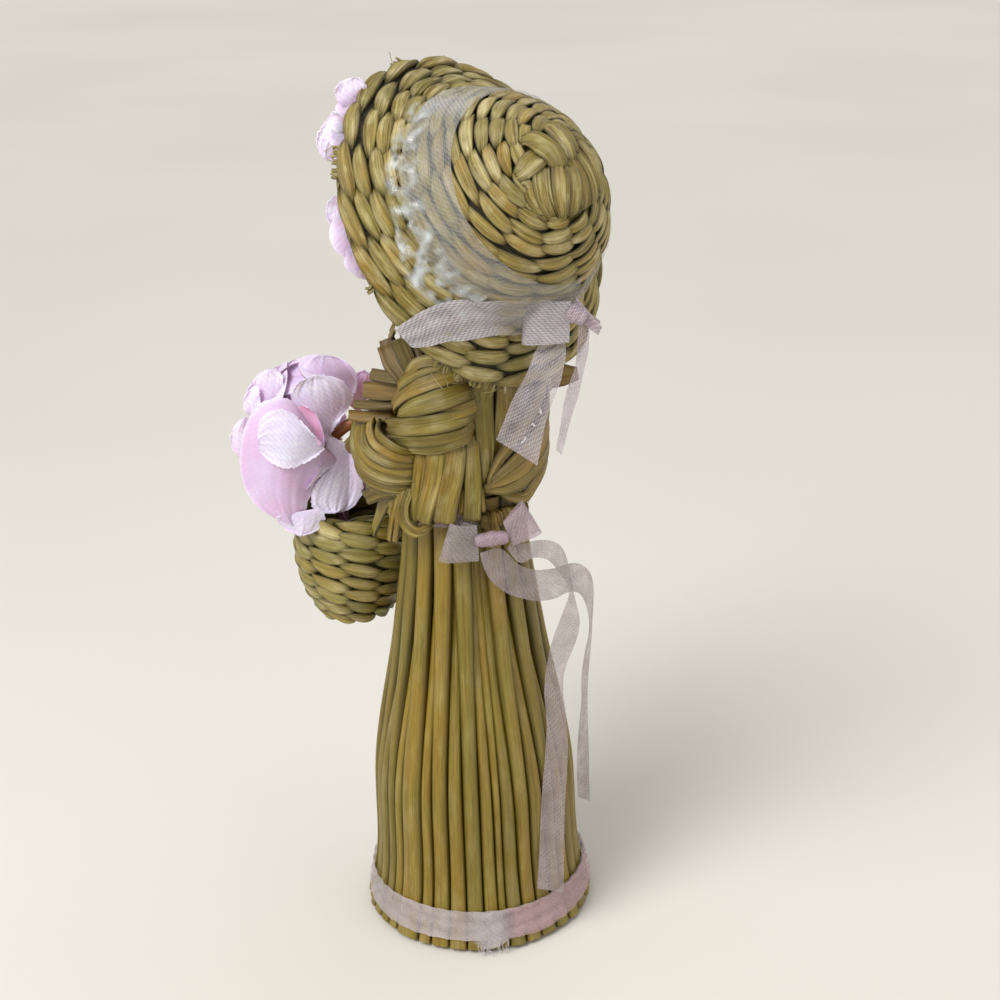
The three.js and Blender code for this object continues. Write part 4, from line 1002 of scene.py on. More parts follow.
def body_guide(shares, count):
    """Angles, heights and radii along a guide: degrees, and shares of the bodice's height and radius."""
    degrees_weight, share_weight = 40, 3
    places = curve_through(
        [(a / degrees_weight, h * share_weight, r * share_weight) for a, h, r in shares], count)
    angle = np.radians(places[:, 0] * degrees_weight)
    height = WAIST + places[:, 1] / share_weight * BODICE_HEIGHT
    return angle, height, places[:, 2] / share_weight * BODY_RADIUS


def patch(bundle, first, last, strands, thickness=1.15, tuck=(1.2, 1.2)):
    """Strands side by side, which run along the guides and fill the space from first to last."""
    steps, lean, overlap = 30, 0.25, 1.16
    a = np.stack(body_guide(first, steps))
    b = np.stack(body_guide(last, steps))

    def line(share):
        angle, height, radius = a + (b - a) * share
        return polar(radius, angle, height), angle

    for j in range(strands):
        share = (j + 0.5) / strands
        middle, angle = line(share)
        near, _ = line(j / strands)
        far, _ = line((j + 1) / strands)
        across = far - near
        along = unit(np.gradient(middle, axis=0))
        out = unit(np.cross(along, across))
        radial = polar(1, angle, 0)
        out = out * np.sign(np.sum(out * radial, axis=1, keepdims=True))
        place = np.linspace(0, 1, steps)
        sink = tuck[0] * (1 - smooth_step(0, 0.14, place)) + tuck[1] * smooth_step(0.86, 1, place)
        rise = lean * (1 if j % 2 else -1) - thickness / 2 + 0.35
        path = middle + out * (rise - sink)[:, None] + out * wander(steps, 0.07, 2)[:, None]
        tilt = unit(out + 0.16 * (1 if j % 2 else -1) * unit(across))
        width = np.linalg.norm(across, axis=1) * overlap * (1 + wander(steps, 0.03, 2))
        strand(bundle, path, tilt, width, thickness, sides=20, creases=STRAND_CREASES, squareness=0.7)


def peplum_guide(angle, top, bottom, top_radius, bottom_radius):
    """A guide down the bodice at one angle, in degrees, with its heights and radii as shares."""
    middle = (top_radius + bottom_radius) / 2 + 0.04
    return [(angle, top, top_radius), (angle, (top + bottom) / 2, middle), (angle, bottom, bottom_radius)]


def peplum(name, from_angle, to_angle, shape, strands, material):
    bundle = Bundle()
    patch(bundle, peplum_guide(from_angle, *shape), peplum_guide(to_angle, *shape), strands,
          tuck=(1.0, 1.8), thickness=1.5)
    bundle.build(f"{name}_strands", material, "straw", name)


def bodice():
    bundle = Bundle()
    puff_middle = on_round(*SLEEVE_MIDDLE, 7)
    for i, (pixels, widths) in enumerate(SLEEVE_SEEN):
        places = [on_round(x, y, puffed(x, y)) for x, y in pixels]
        laid(bundle, places, widths, lambda path: path - puff_middle, rise=0.12 * i - 0.4, tuck=(1.2, 1.6))
    bundle.build("sleeve_wrap", wrap_straw, "straw", "sleeve_left")
    bundle = Bundle()
    elbow(bundle, LEFT)
    forearm(bundle)
    bundle.build("arm_left_strands", wrap_straw, "straw", "arm_left")
    bundle = Bundle()
    elbow(bundle, RIGHT)
    for i, (pixels, widths) in enumerate(SLEEVE_SEEN):
        places = [on_round(x, y, puffed(x, y)) * RIGHT for x, y in pixels if x < SLEEVE_MIDDLE[0] + 15]
        if len(places) > 1:
            laid(bundle, places, widths[:len(places)], lambda path: path - puff_middle * RIGHT,
                 rise=0.12 * i - 0.4, tuck=(1.2, 1.6))
    bundle.build("arm_right_strands", wrap_straw, "straw", "arm_right")
    bundle = Bundle()
    for i, (pixels, widths) in enumerate(UPRIGHTS_SEEN):
        places = [on_round(x, y, UPRIGHT_RADIUS) for x, y in pixels]
        laid(bundle, places, widths, radially, rise=0.2 * i - 0.3, tuck=(0.5, 0.6))
    bundle.build("back_upright_strands", wrap_straw, "straw", "back_strands")
    bundle = Bundle()
    for i, (pixels, widths, height) in enumerate(RIGHT_WRAPS_SEEN):
        places = [on_round(x, y, radius) for (x, y), radius in zip(pixels, RIGHT_WRAP_RADII)]
        places += [polar(17.2, math.radians(162), height), polar(15.6, math.radians(188), height + 2)]
        laid(bundle, places, widths + [3.4, 3.0], radially, rise=0.12 * i - 0.2, tuck=(0.4, 1.0), steps=44)
    bundle.build("right_wrap", brown_straw, "straw", "wrap_right")
    bundle = Bundle()
    for i, (pixels, widths) in enumerate(PEPLUM_SEEN):
        radii = np.linspace(*PEPLUM_RADII, len(pixels))
        laid(bundle, [on_round(x, y, r) for (x, y), r in zip(pixels, radii)], widths, radially,
             rise=0.22 * i - 0.6, tuck=(0.8, 0.0), thickness=1.1, fold=0.7)
    bundle.build("peplum_left_strands", wrap_straw, "straw", "peplum_left")
    bundle = Bundle()
    for i, (pixels, widths) in enumerate(PEPLUM_LEFT_SEEN):
        radii = np.linspace(*PEPLUM_LEFT_RADII, len(pixels))
        laid(bundle, [on_round(x, y, r) for (x, y), r in zip(pixels, radii)], widths, radially,
             rise=0.2 * i, tuck=(0.8, 0.0))
    for shift in (0, 4):
        laid(bundle, [at_depth(x + shift * 0.6, y - shift, near) for x, y, near in PEPLUM_LOOP_SEEN],
             [1.6, 1.7, 1.6, 1.6, 1.5], camera_back, tuck=(0.6, 1.2))
    side_shape = (0.18, -0.02, 1.22, 1.34)
    patch(bundle, peplum_guide(-16, *side_shape), peplum_guide(-2, *side_shape), 2)
    bundle.build("peplum_side_strands", wrap_straw, "straw", "peplum_side")
    peplum("peplum_right", 155, 200, side_shape, 5, wrap_straw)
    peplum("peplum_back", 60, 104, (0.05, -0.04, 1.12, 1.14), 6, brown_straw)
    bundle = Bundle()
    for i in range(6):
        for side in (1, -1):
            shares = ((46, 0.98 - 0.11 * i, 1.02), (24, 0.84 - 0.12 * i, 1.12),
                      (0, 0.66 - 0.12 * i, 1.14), (-24, 0.5 - 0.11 * i, 1.13),
                      (-44, 0.4 - 0.09 * i, 1.08))
            places = [polar(r * BODY_RADIUS, math.radians(FRONT_MIDDLE + side * a),
                            WAIST + max(h, 0.03) * BODICE_HEIGHT) for a, h, r in shares]
            laid(bundle, places, [2.6, 3.4, 3.8, 3.6, 2.8], radially, rise=0.3 * (2 * i + side) / 3 - 0.6,
                 tuck=(0.8, 0.8))
    bundle.build("front_strands", wrap_straw, "straw", "bodice_front")


# Basket

basket_centre = polar(BASKET_DISTANCE, BASKET_ANGLE, 0)
basket_top = BASKET_BOTTOM + BASKET_DEPTH
handle_across = np.array([math.sqrt(0.5), -math.sqrt(0.5), 0])
handle_half = BASKET_MOUTH - 0.8


def basket_radius(share):
    share = np.asarray(share, float)
    belly = np.sin(math.pi * np.minimum(1, share * 1.15)) * (BASKET_BELLY - BASKET_MOUTH) * 2
    floor = (BASKET_MOUTH - BASKET_FLOOR) * (1 - share) ** 2.6
    return BASKET_MOUTH + belly - floor


def basket():
    bundle = Bundle()
    middle = basket_centre + camera_right * WEAVE_SHIFT
    pitch = WEAVE_HEIGHT / BASKET_ROWS
    for row in range(BASKET_ROWS):
        share = (row + 0.5) / BASKET_ROWS
        tilt = (basket_radius(share + 0.05) - basket_radius(share - 0.05)) / (0.1 * WEAVE_HEIGHT)

        def place(angle, share=share, tilt=tilt):
            height = BASKET_BOTTOM + share * WEAVE_HEIGHT + wander(len(angle), 0.05, 2)
            radius = basket_radius(share) - 0.6
            out = unit(polar(1, angle, -tilt))
            over = unit(polar(tilt, angle, 1))
            return middle + polar(radius, angle, height), out, over

        leaf_row(bundle, place, BASKET_STITCHES, math.radians(BASKET_START), pitch, 1.1, -pitch * 0.4,
                 0.85, length=1.6)
    floor_angle = np.arange(24) / 24 * 2 * math.pi
    for i, radius in enumerate((5.2, 2.4)):
        path = middle + polar(radius, floor_angle, BASKET_BOTTOM + 0.6)
        strand(bundle, path, UP, 3.2, 0.9, closed=True)
    for i in range(BASKET_STITCHES):
        angle = math.radians(BASKET_START) + i / BASKET_STITCHES * 2 * math.pi
        share = np.linspace(0.02, 1.0, 14)
        radius = basket_radius(share) - 0.7
        path = middle + polar(radius, angle, BASKET_BOTTOM + share * WEAVE_HEIGHT)
        strand(bundle, path, polar(1, angle, 0), 3.4, 0.6, sides=8, shade=0.6)
    # A dark sheet inside the basket's weave, which paints the shade in its gaps.
    turn = np.linspace(0, 2 * math.pi, 73)[:, None]
    share = np.linspace(0.03, 0.95, 18)
    ground = middle + polar(basket_radius(share) - 0.75, turn, BASKET_BOTTOM + share * WEAVE_HEIGHT)
    sheet(bundle, ground, SHADE_SHEET_THICKNESS, 0.5, 0.12)
    bundle.build("basket_weave", shaded_basket_straw, "straw", "basket_body")
    bundle = Bundle()
    angle = np.linspace(0, math.pi, 40)
    path = (basket_centre + (handle_half * np.cos(angle))[:, None] * handle_across
            + (basket_top + HANDLE_GAP + HANDLE_RISE * np.sin(angle))[:, None] * UP)
    lean = np.sin(angle)[:, None] ** 2
    path = path + camera_right * WEAVE_SHIFT + lean * (camera_right * 4.2 + UP * 2.7)
    facing = np.array([math.sqrt(0.5), math.sqrt(0.5), 0.01])
    strand(bundle, path, facing, HANDLE_DIAMETER, HANDLE_DIAMETER, sides=16, squareness=1.0, creases=0.04)
    bundle.build("basket_reed", reed_finish, "reed", "basket_handle")


def forearm(bundle):
    """Strands that run from the elbow to the handle, which rests on them."""
    elbow = polar(BODY_RADIUS * 1.26, math.radians(-36), WAIST + BODICE_HEIGHT * 0.48)
    handle_bottom = basket_top + HANDLE_GAP + HANDLE_RISE - HANDLE_DIAMETER / 2
    hand = polar(BASKET_DISTANCE - ARM_RADIUS, BASKET_ANGLE, handle_bottom - HANDLE_GAP - ARM_RADIUS)
    along = unit(hand - elbow)
    side = unit(np.cross(along, UP))
    up = np.cross(side, along)
    share = np.linspace(0, 1, 14)
    for k in range(7):
        turn = k / 7 * 2 * math.pi
        out = side * math.cos(turn) + up * math.sin(turn)
        ring = ARM_RADIUS * (1.35 - 0.35 * share) * 0.62
        path = elbow + (hand - elbow) * share[:, None] + out * ring[:, None]
        strand(bundle, path, out, 2.0 - 0.3 * share, 1.1, sides=12, creases=0.3)


def collar(name, flip):
    """Cut strand ends that fan out over a shoulder, from upright at the top to level below."""
    bundle = Bundle()
    facing = camera_back + UP * 0.35
    for i, (pixels, widths, shade) in enumerate(COLLAR_SEEN):
        places = [at_depth(*place) * flip for place in pixels]
        turned = (facing + camera_right * rng.uniform(-0.3, 0.3)) * flip
        laid(bundle, places, widths, turned, rise=0.15 * i, tuck=(1.0, -0.2), thickness=1.0,
             shade=0.8 * shade)
        if widths[0] > 2.9:
            ends = [place - camera_back * flip * 1.3 + UP * rng.uniform(-0.8, 0.8) for place in places]
            laid(bundle, ends, [width * 0.8 for width in widths], facing * flip, tuck=(0.5, 0.2),
                 shade=0.55)
    if flip is RIGHT:
        laid(bundle, [at_depth(x, y, RIGHT_END_NEAR) for x, y in RIGHT_END_SEEN],
             [6.0, 6.4, 5.0, 2.6], camera_back, tuck=(0.6, 0.0))
    bundle.build(f"{name}_fan", brown_straw, "straw", name)


def elbow(bundle, flip):
    """Strands that loop forward below the sleeve."""
    toward = (camera_back + camera_right * -0.35 + UP * 0.1) * flip
    for i, (pixels, widths, shade) in enumerate(ELBOW_SEEN):
        places = [at_depth(*place) * flip for place in pixels]
        laid(bundle, places, widths, toward, rise=0.1 * i, tuck=(1.0, 0.8), shade=shade, thickness=1.1)


def cores():
    """The bundles inside: upright stems under the bodice, which close in to the neck, and in the skirt."""
    bundle = Bundle()
    _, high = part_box("torso_core")
    top = high[2] / MM
    stems = 24
    height = np.array([SKIRT_TOP + 0.4, 108, BODICE_TOP - 8, BODICE_TOP - 4, BODICE_TOP, top - 0.5])
    radius = np.array([12.2, 12.3, 12.2, 10.4, 6.2, 5.6])
    for i in range(stems):
        line = curve_through(np.stack([radius, height, 0 * height], axis=1), 30)
        angle = 2 * math.pi * i / stems + wander(30, 0.03, 2)
        path = polar(line[:, 0] - 1.2, angle, line[:, 1])
        width = 2 * math.pi * line[:, 0] / stems * 1.05
        strand(bundle, path, polar(1, angle, 0), width, 2.2, sides=10, shade=0.75)
    around = np.linspace(0, 2 * math.pi, 60)[:-1]
    for i in range(5):
        neck = 6.9 - 0.1 * i + wander(59, 0.12, 3, closed=True)
        path = polar(neck, around, BODICE_TOP - 0.6 + 2.0 * i + 0.5 * np.sin(around + i))
        strand(bundle, path, path * [1, 1, 0], 2.5, 1.0, closed=True, creases=0.4, edge_shade=0.6)
    bundle.build("torso_stems", brown_straw, "straw_core", "torso_core")
    # The skirt's inner stems get the near-black straw, which paints the shade inside the skirt.
    bundle = Bundle()
    for ring, (inset, stems) in enumerate(((4.6, 26), (8.4, 20), (12.2, 14))):
        for i in range(stems):
            height = np.linspace(0.5, SKIRT_TOP - 0.5, 16)
            line = np.maximum(skirt_radius(height) - inset - 0.4, 1.5 + 2.2 * (2 - ring))
            angle = 2 * math.pi * (i + 0.5 * ring) / stems
            width = np.minimum(2 * math.pi * line / stems, 3.8)
            path = polar(line, angle, height)
            strand(bundle, path, polar(1, angle, 0), width, np.minimum(width, 3), sides=8)
    bundle.build("skirt_inner_stems", inner_shade_straw, "straw_core", "skirt_core")


# Ribbons

def folded_loop(bundle, start, tip, near, gape, tone):
    """A flat loop whose near side spans two pixels at the knot and two at its tip."""
    turn = np.linspace(0, math.pi, 11)
    shares = np.r_[np.linspace(0, 0.97, 16), np.ones(11), np.linspace(0.97, 0, 16)]
    lifts = gape * np.r_[np.sin(np.linspace(0.2, math.pi / 2, 16)), np.cos(turn),
                         -np.sin(np.linspace(math.pi / 2, 0.2, 16))]
    ahead = gape * np.r_[np.zeros(16), np.sin(turn), np.zeros(16)]
    first, last = (np.array([at_depth(x, y, near) for x, y in edge]) for edge in (start, tip))
    s = np.linspace(0, 1, 13)[:, None]
    first = first[0] + (first[1] - first[0]) * s
    last = last[0] + (last[1] - last[0]) * s
    grid = first + (last - first) * shares[:, None, None]
    grid = grid + camera_back * lifts[:, None, None] + unit(last - first) * ahead[:, None, None]
    waves = wander(len(shares), 0.12, 3)[:, None] + 0.15 * np.sin(s[:, 0] * 9)
    grid = grid + camera_back * waves[..., None]
    sheet(bundle, grid, RIBBON_THICKNESS, tone)


def smoothed(places, count):
    """Places spread by their number along the given ones, with the corners rounded."""
    places = np.asarray(places, float)
    at = np.linspace(0, len(places) - 1, count)
    line = np.stack([np.interp(at, np.arange(len(places)), column) for column in places.T], axis=-1)
    for _ in range(int(0.25 * (count / len(places)) ** 2) + 4):
        line[1:-1] = (line[:-2] + 2 * line[1:-1] + line[2:]) / 4
    return line


def hanging(bundle, left, right, near, tone=0.2, ripple=0.25, steps=70, shade=1.0):
    """A ribbon between two edges given as pixels, so near the camera at its places."""
    edges = []
    for edge in (left, right):
        depth = np.interp(np.linspace(0, 1, len(edge)), np.linspace(0, 1, len(near)), near)
        edges.append(smoothed([at_depth(x, y, d) for (x, y), d in zip(edge, depth)], steps))
    s = np.linspace(0, 1, 13)[:, None]
    grid = edges[0][:, None] + (edges[1] - edges[0])[:, None] * s
    sway = ripple * np.sin(np.linspace(0, 16, steps)[:, None] + 4 * s[:, 0])
    waves = wander(steps, ripple, 5)[:, None] + sway
    grid = grid + (camera_back + camera_right * 0.2) * waves[..., None]
    sheet(bundle, grid, RIBBON_THICKNESS, tone, shade)


def knot(bundle, centre, axis, facing, length, width, tone):
    """The short ribbon that is wrapped round a bow's middle, with a few creases."""
    axis, facing = unit(axis), unit(facing)
    up = np.cross(axis, facing)
    turn = np.linspace(0, 2 * math.pi, 26)
    s = np.linspace(-1, 1, 13)
    swell = 1 + 0.16 * np.cos(3 * math.pi * s) * 0.5 - 0.35 * s**2
    radial = (facing * np.cos(turn)[:, None] + up * np.sin(turn)[:, None]) * width / 2
    grid = centre + radial[:, None] * swell[None, :, None] + axis * (s * length / 2)[None, :, None]
    sheet(bundle, grid, RIBBON_THICKNESS, tone)
    core = centre + axis * (np.linspace(-0.5, 0.5, 8) * length * 0.9)[:, None]
    strand(bundle, core, facing, width * 0.8, width * 0.8, tone=tone)


def bonnet_place(reach, angle, lift):
    """A place on the bonnet: reach is 1 at the rim, 0 at the junction and below 0 on the crown."""
    reach, angle, lift = np.broadcast_arrays(reach, angle, lift)
    slope_length = math.hypot(JUNCTION_OFFSET, RIM_HALF_WIDTH - junction_radius)
    on_brim, _, _ = brim_place(np.maximum(reach, 0), angle, lift)
    polar_angle = junction_angle + np.minimum(reach, 0) * slope_length / CROWN_RADIUS
    on_crown, _, _ = crown_place(polar_angle, angle, lift)
    share = smooth_step(-0.08, 0.08, reach)[..., None]
    return on_crown * (1 - share) + on_brim * share


# The edges of the ribbon's end on the bonnet, as reach and degrees of bonnet_place
BONNET_RIBBON_TOP = (
    (0.99, -26), (0.86, -27), (0.6, -29), (0.32, -33), (0.08, -39), (-0.1, -46), (-0.26, -54),
    (-0.38, -63), (-0.46, -74), (-0.5, -90), (-0.5, -104),
)
BONNET_RIBBON_BOTTOM = (
    (0.99, -34), (0.9, -37), (0.76, -41), (0.66, -44), (0.58, -48), (0.42, -55), (0.3, -63),
    (0.24, -72), (0.2, -80), (0.16, -92), (0.1, -104),
)


def bonnet_band():
    """The ribbon round the crown's foot, and the end that comes from under the brim to the bow."""
    bundle = Bundle()
    angle = np.radians(np.linspace(-100, 256, 240))
    s = np.linspace(0, 1, 15)
    low = 0.1 + wander(240, 0.03, 6)
    high = -0.66 + wander(240, 0.02, 6)
    reach = low[:, None] + (high - low)[:, None] * s
    bumps = 0.14 * np.sin(angle * CROWN_STITCHES / 2)[:, None] * np.sin(s * 11)
    bumps = bumps + 0.05 * np.sin(angle * 37)[:, None]
    lift = 0.72 + bumps + 0.5 * np.exp(-(reach / 0.1) ** 2)
    dense = 1 + 1.6 * np.exp(-((np.degrees(angle) - 66) / 9) ** 2)[:, None]
    sheet(bundle, bonnet_place(reach, angle[:, None] * np.ones(15), lift), RIBBON_THICKNESS, 0.15, dense)
    veil = bundle.build("bonnet_veil", veil_cloth, "ribbon", "bonnet_band")
    bundle = Bundle()
    reach_weight, degrees_weight = 13, 3
    first, last = (
        curve_through([(r * reach_weight, a / degrees_weight, 0) for r, a in edge], 70)
        for edge in (BONNET_RIBBON_TOP, BONNET_RIBBON_BOTTOM))
    s = np.linspace(0, 1, 13)[:, None]
    line = first[:, None] + (last - first)[:, None] * s
    reach, turned = line[..., 0] / reach_weight, np.radians(line[..., 1] * degrees_weight)
    crease = 0.16 * np.sin(s[:, 0] * 14) + 0.1 * np.sin(np.linspace(0, 22, 70))[:, None]
    lift = 1.05 + crease + 0.5 * np.exp(-(reach / 0.1) ** 2)
    faded = 1 - 0.8 * smooth_step(0.4, 0.6, np.linspace(0, 1, 70))[:, None]
    sheet(bundle, bonnet_place(reach, turned, lift), RIBBON_THICKNESS, 0.1, faded)
    pass_under = bundle.build("bonnet_ribbon", bonnet_ribbon_cloth, "ribbon")


def glue_smear():
    """Dried glue along the ribbon's lower edge."""
    bundle = Bundle()
    angle = np.radians(np.linspace(66, -46, 110))
    s = np.linspace(0, 1, 25)
    edge = 0.34 + 0.12 * smooth_step(0.2, -0.4, angle) + wander(110, 0.05, 9)
    reach = -0.26 + (edge[:, None] + 0.26) * s
    lumps = 0.3 * np.sin(angle * 23)[:, None] * np.sin(s * 9 + 1) + 0.22 * np.sin(angle * 41 + 2)[:, None]
    ridge = 0.4 * np.exp(-(reach / 0.1) ** 2)
    lift = 0.95 + lumps * np.sin(math.pi * s) - 0.6 * smooth_step(0.8, 1, s) + ridge
    fade = smooth_step(0.0, 0.2, s) * smooth_step(1.0, 0.9, s)
    shade = (0.75 + 0.6 * smooth_step(0.3, -0.2, angle))[:, None] * fade
    sheet(bundle, bonnet_place(reach, angle[:, None] * np.ones(25), lift), GLUE_THICKNESS, 0.2, shade)
    bundle.build("glue_smear", glue, "ribbon")


# The bonnet bow's tails in the photograph's pixels: left edge, right edge, how near they are
# behind or before the bow, tone and cover
BONNET_TAILS_SEEN = (
    ([(545, 338), (536, 350), (527, 372), (511, 402), (496, 440)],
     [(566, 338), (566, 350), (564, 372), (551, 402), (537, 465)], (-1, 1.5, 1), 0.2, 0.56),
    ([(578, 322), (578, 345), (574, 372), (564, 402), (556, 450)],
     [(590, 322), (589, 345), (584, 372), (577, 402), (561, 454)], (-2, -3.5, -4), 0.35, 0.72),
)


def bonnet_bow():
    bundle = Bundle()
    near = float(BONNET_BOW_CENTRE @ camera_back) + 5.0
    axis = polar(1, math.radians(-45), 0) * 0.6 + UP * 0.4
    knot(bundle, at_depth(576, 314, near), axis, polar(1, math.radians(45), 0), 3.6, 3.4, 0.5)
    folded_loop(bundle, [(571, 301), (569, 342)], [(530, 298), (529, 343)], near, 1.3, 0.15)
    folded_loop(bundle, [(575, 296), (584, 324)], [(600, 325), (596, 333)], near - 1, 0.5, 0.5)
    folded_loop(bundle, [(572, 300), (577, 320)], [(598, 320), (588, 327)], near - 2.4, 0.6, 0.3)
    for left, right, before, tone, cover in BONNET_TAILS_SEEN:
        hanging(bundle, left, right, [near + step for step in before], tone, shade=cover)
    bow = bundle.build("bonnet_bow_ribbon", bonnet_ribbon_cloth, "ribbon", "bonnet_bow")


# The waist bow's tails in the photograph's pixels: left edge, right edge, and how near the
# camera they are, in millimetres from the doll's axis
FRONT_TAIL_SEEN = (
    [(507, 548), (515, 560), (521, 564), (528, 559), (535, 557), (544, 558), (550, 561), (556, 568),
     (563, 578), (569, 587), (570, 595), (565, 608), (560, 621), (554, 636), (550, 650), (547, 665),
     (545, 680), (544, 695), (546, 710), (547, 730), (545, 755), (542, 785), (540, 820), (539, 855),
     (537, 888)],
    [(512, 540), (518, 544), (525, 544), (532, 541), (540, 540), (550, 540), (558, 543), (564, 549),
     (568, 562), (572, 580), (574, 594), (578, 608), (581, 621), (579, 634), (574, 648), (567, 662),
     (563, 677), (563, 692), (565, 708), (568, 730), (568, 755), (566, 785), (564, 820), (564, 855),
     (563, 892)],
    (16.5, 16.3, 15, 13, 11.3, 10.3, 11.8, 15.5, 19.2),
)
BACK_TAIL_SEEN = (
    [(480, 553), (483, 568), (489, 579), (498, 587), (508, 594), (520, 598), (533, 601), (545, 601),
     (555, 599), (563, 594), (569, 591), (576, 591), (582, 595), (586, 604), (589, 616), (590, 630),
     (587, 645), (583, 662), (581, 680), (582, 698), (580, 715), (578, 735), (577, 757), (577, 778),
     (578, 797)],
    [(495, 548), (503, 549), (509, 555), (514, 561), (521, 566), (530, 569), (539, 570), (548, 569),
     (557, 568), (564, 565), (571, 563), (579, 563), (587, 568), (592, 575), (594, 588), (593, 606),
     (592, 625), (591, 645), (589, 664), (588, 683), (588, 702), (588, 722), (589, 745), (589, 770),
     (590, 801)],
    (16.8, 15.5, 13, 10.5, 9, 8, 7, 6.5, 6),
)


def waist_bow():
    bundle = Bundle()
    centre = polar(17.4, math.radians(72), WAIST - WAIST_RIBBON / 4)
    near = float(centre @ camera_back) + 1.2
    knot(bundle, at_depth(492, 539, near + 0.5), camera_right + UP * 0.1, camera_back, 6.4, 2.9, 0.7)
    folded_loop(bundle, [(477, 526), (479, 561)], [(458, 523), (447, 560)], near, 1.5, 0.15)
    folded_loop(bundle, [(503, 522), (513, 545)], [(519, 505), (537, 534)], near, 1.0, 0.45)
    for left, right, depths in (FRONT_TAIL_SEEN, BACK_TAIL_SEEN):
        hanging(bundle, left, right, depths, ripple=0.12, steps=130)
    bundle.build("waist_bow_ribbon", waist_ribbon_cloth, "ribbon", "waist_bow")


def waist_band():
    """The ribbon round the waist, which fades where the peplum covers it."""
    bundle = Bundle()
    angle = np.linspace(0, 2 * math.pi, 120)
    s = np.linspace(0, 1, 9)
    height = WAIST - 1.2 + wander(120, 0.2, 4)[:, None] + s * 4.0
    radius = 13.25 + 0.12 * np.sin(angle * 20)[:, None] + 0.12 * np.sin(s * 9)
    hidden = np.exp(-((np.degrees(angle) - 80) / 26) ** 2)[:, None]
    ring = polar(radius - 0.9 * hidden, angle[:, None] * np.ones(9), height)
    sheet(bundle, ring, RIBBON_THICKNESS, 0.4, 1 - 0.85 * hidden)
    bundle.build("waist_ribbon", waist_ribbon_cloth, "ribbon", "waist_tie")


# The hem's ribbon, the length that overlaps it and its white end: the degrees from and to,
# how far it stands off the stems, and tone
HEM_BANDS = ((-152, 212, 0.32, 0.12), (52, 152, 0.62, 0.8), (40, 64, 0.85, 0.0))


def hem_band():
    """The ribbon pressed to the stems near the floor, which overlaps itself at the rear."""
    bundle = Bundle()
    for first, last, lift, tone in HEM_BANDS:
        count = int(abs(last - first) * 1.4) + 24
        angle = np.radians(np.linspace(first, last, count))
        s = np.linspace(0, 1, 13)
        low = HEM_RIBBON_BOTTOM + wander(count, 0.25, 7)
        high = HEM_RIBBON_BOTTOM + HEM_RIBBON_WIDTH + wander(count, 0.2, 7)
        if lift > 0.8:
            low = low - 1.9 * np.exp(-((np.degrees(angle) - 50) / 7) ** 2)
        height = low[:, None] + (high - low)[:, None] * s
        folds = 0.14 * np.sin(s * 16 + 2 * np.sin(angle * 3)[:, None]) + 0.1 * np.sin(angle * 40)[:, None]
        radius = skirt_radius(height) + lift + folds
        share = np.linspace(0, 1, count)
        faded = 1.0 if lift < 0.4 else smooth_step(0, 0.16 if lift < 0.8 else 0.4, share)[:, None]
        if lift > 0.8:
            faded = faded * smooth_step(1, 0.6, share)[:, None]
        sheet(bundle, polar(radius, angle[:, None] * np.ones(13), height), RIBBON_THICKNESS, tone, faded)
    for i in range(14):
        start = math.radians(44 + 14 * rng.random())
        height = np.linspace(3.4, 0.4 + 1.2 * rng.random(), 6)
        path = polar(skirt_radius(height) + 1.0 + wander(6, 0.2, 2), start + wander(6, 0.02, 2), height)
        strand(bundle, path, polar(1, start, 0), 0.22, 0.12, sides=6, tone=0.0)
    bundle.build("hem_ribbon_cloth", hem_ribbon_cloth, "ribbon", "hem_ribbon")


def ribbons():
    bonnet_band()
    glue_smear()
    bonnet_bow()
    waist_band()
    waist_bow()
    hem_band()


# Flowers

def wrapped(grid, heart, size):
    """A grid of points bent back from the photograph's view, round a blossom's heart."""
    toward = unit(camera_back * math.cos(CAMERA_PITCH) + UP * math.sin(CAMERA_PITCH))
    upward = np.cross(camera_right, toward) * -1
    reach = grid - heart
    beside = reach @ camera_right
    above = reach @ upward
    above = np.where(above < 0, above * 0.35, above)
    bend = size - np.sqrt(np.maximum(size**2 - beside**2 - above**2, (0.4 * size)**2))
    return grid - toward * np.minimum(bend, 5.0)[..., None]


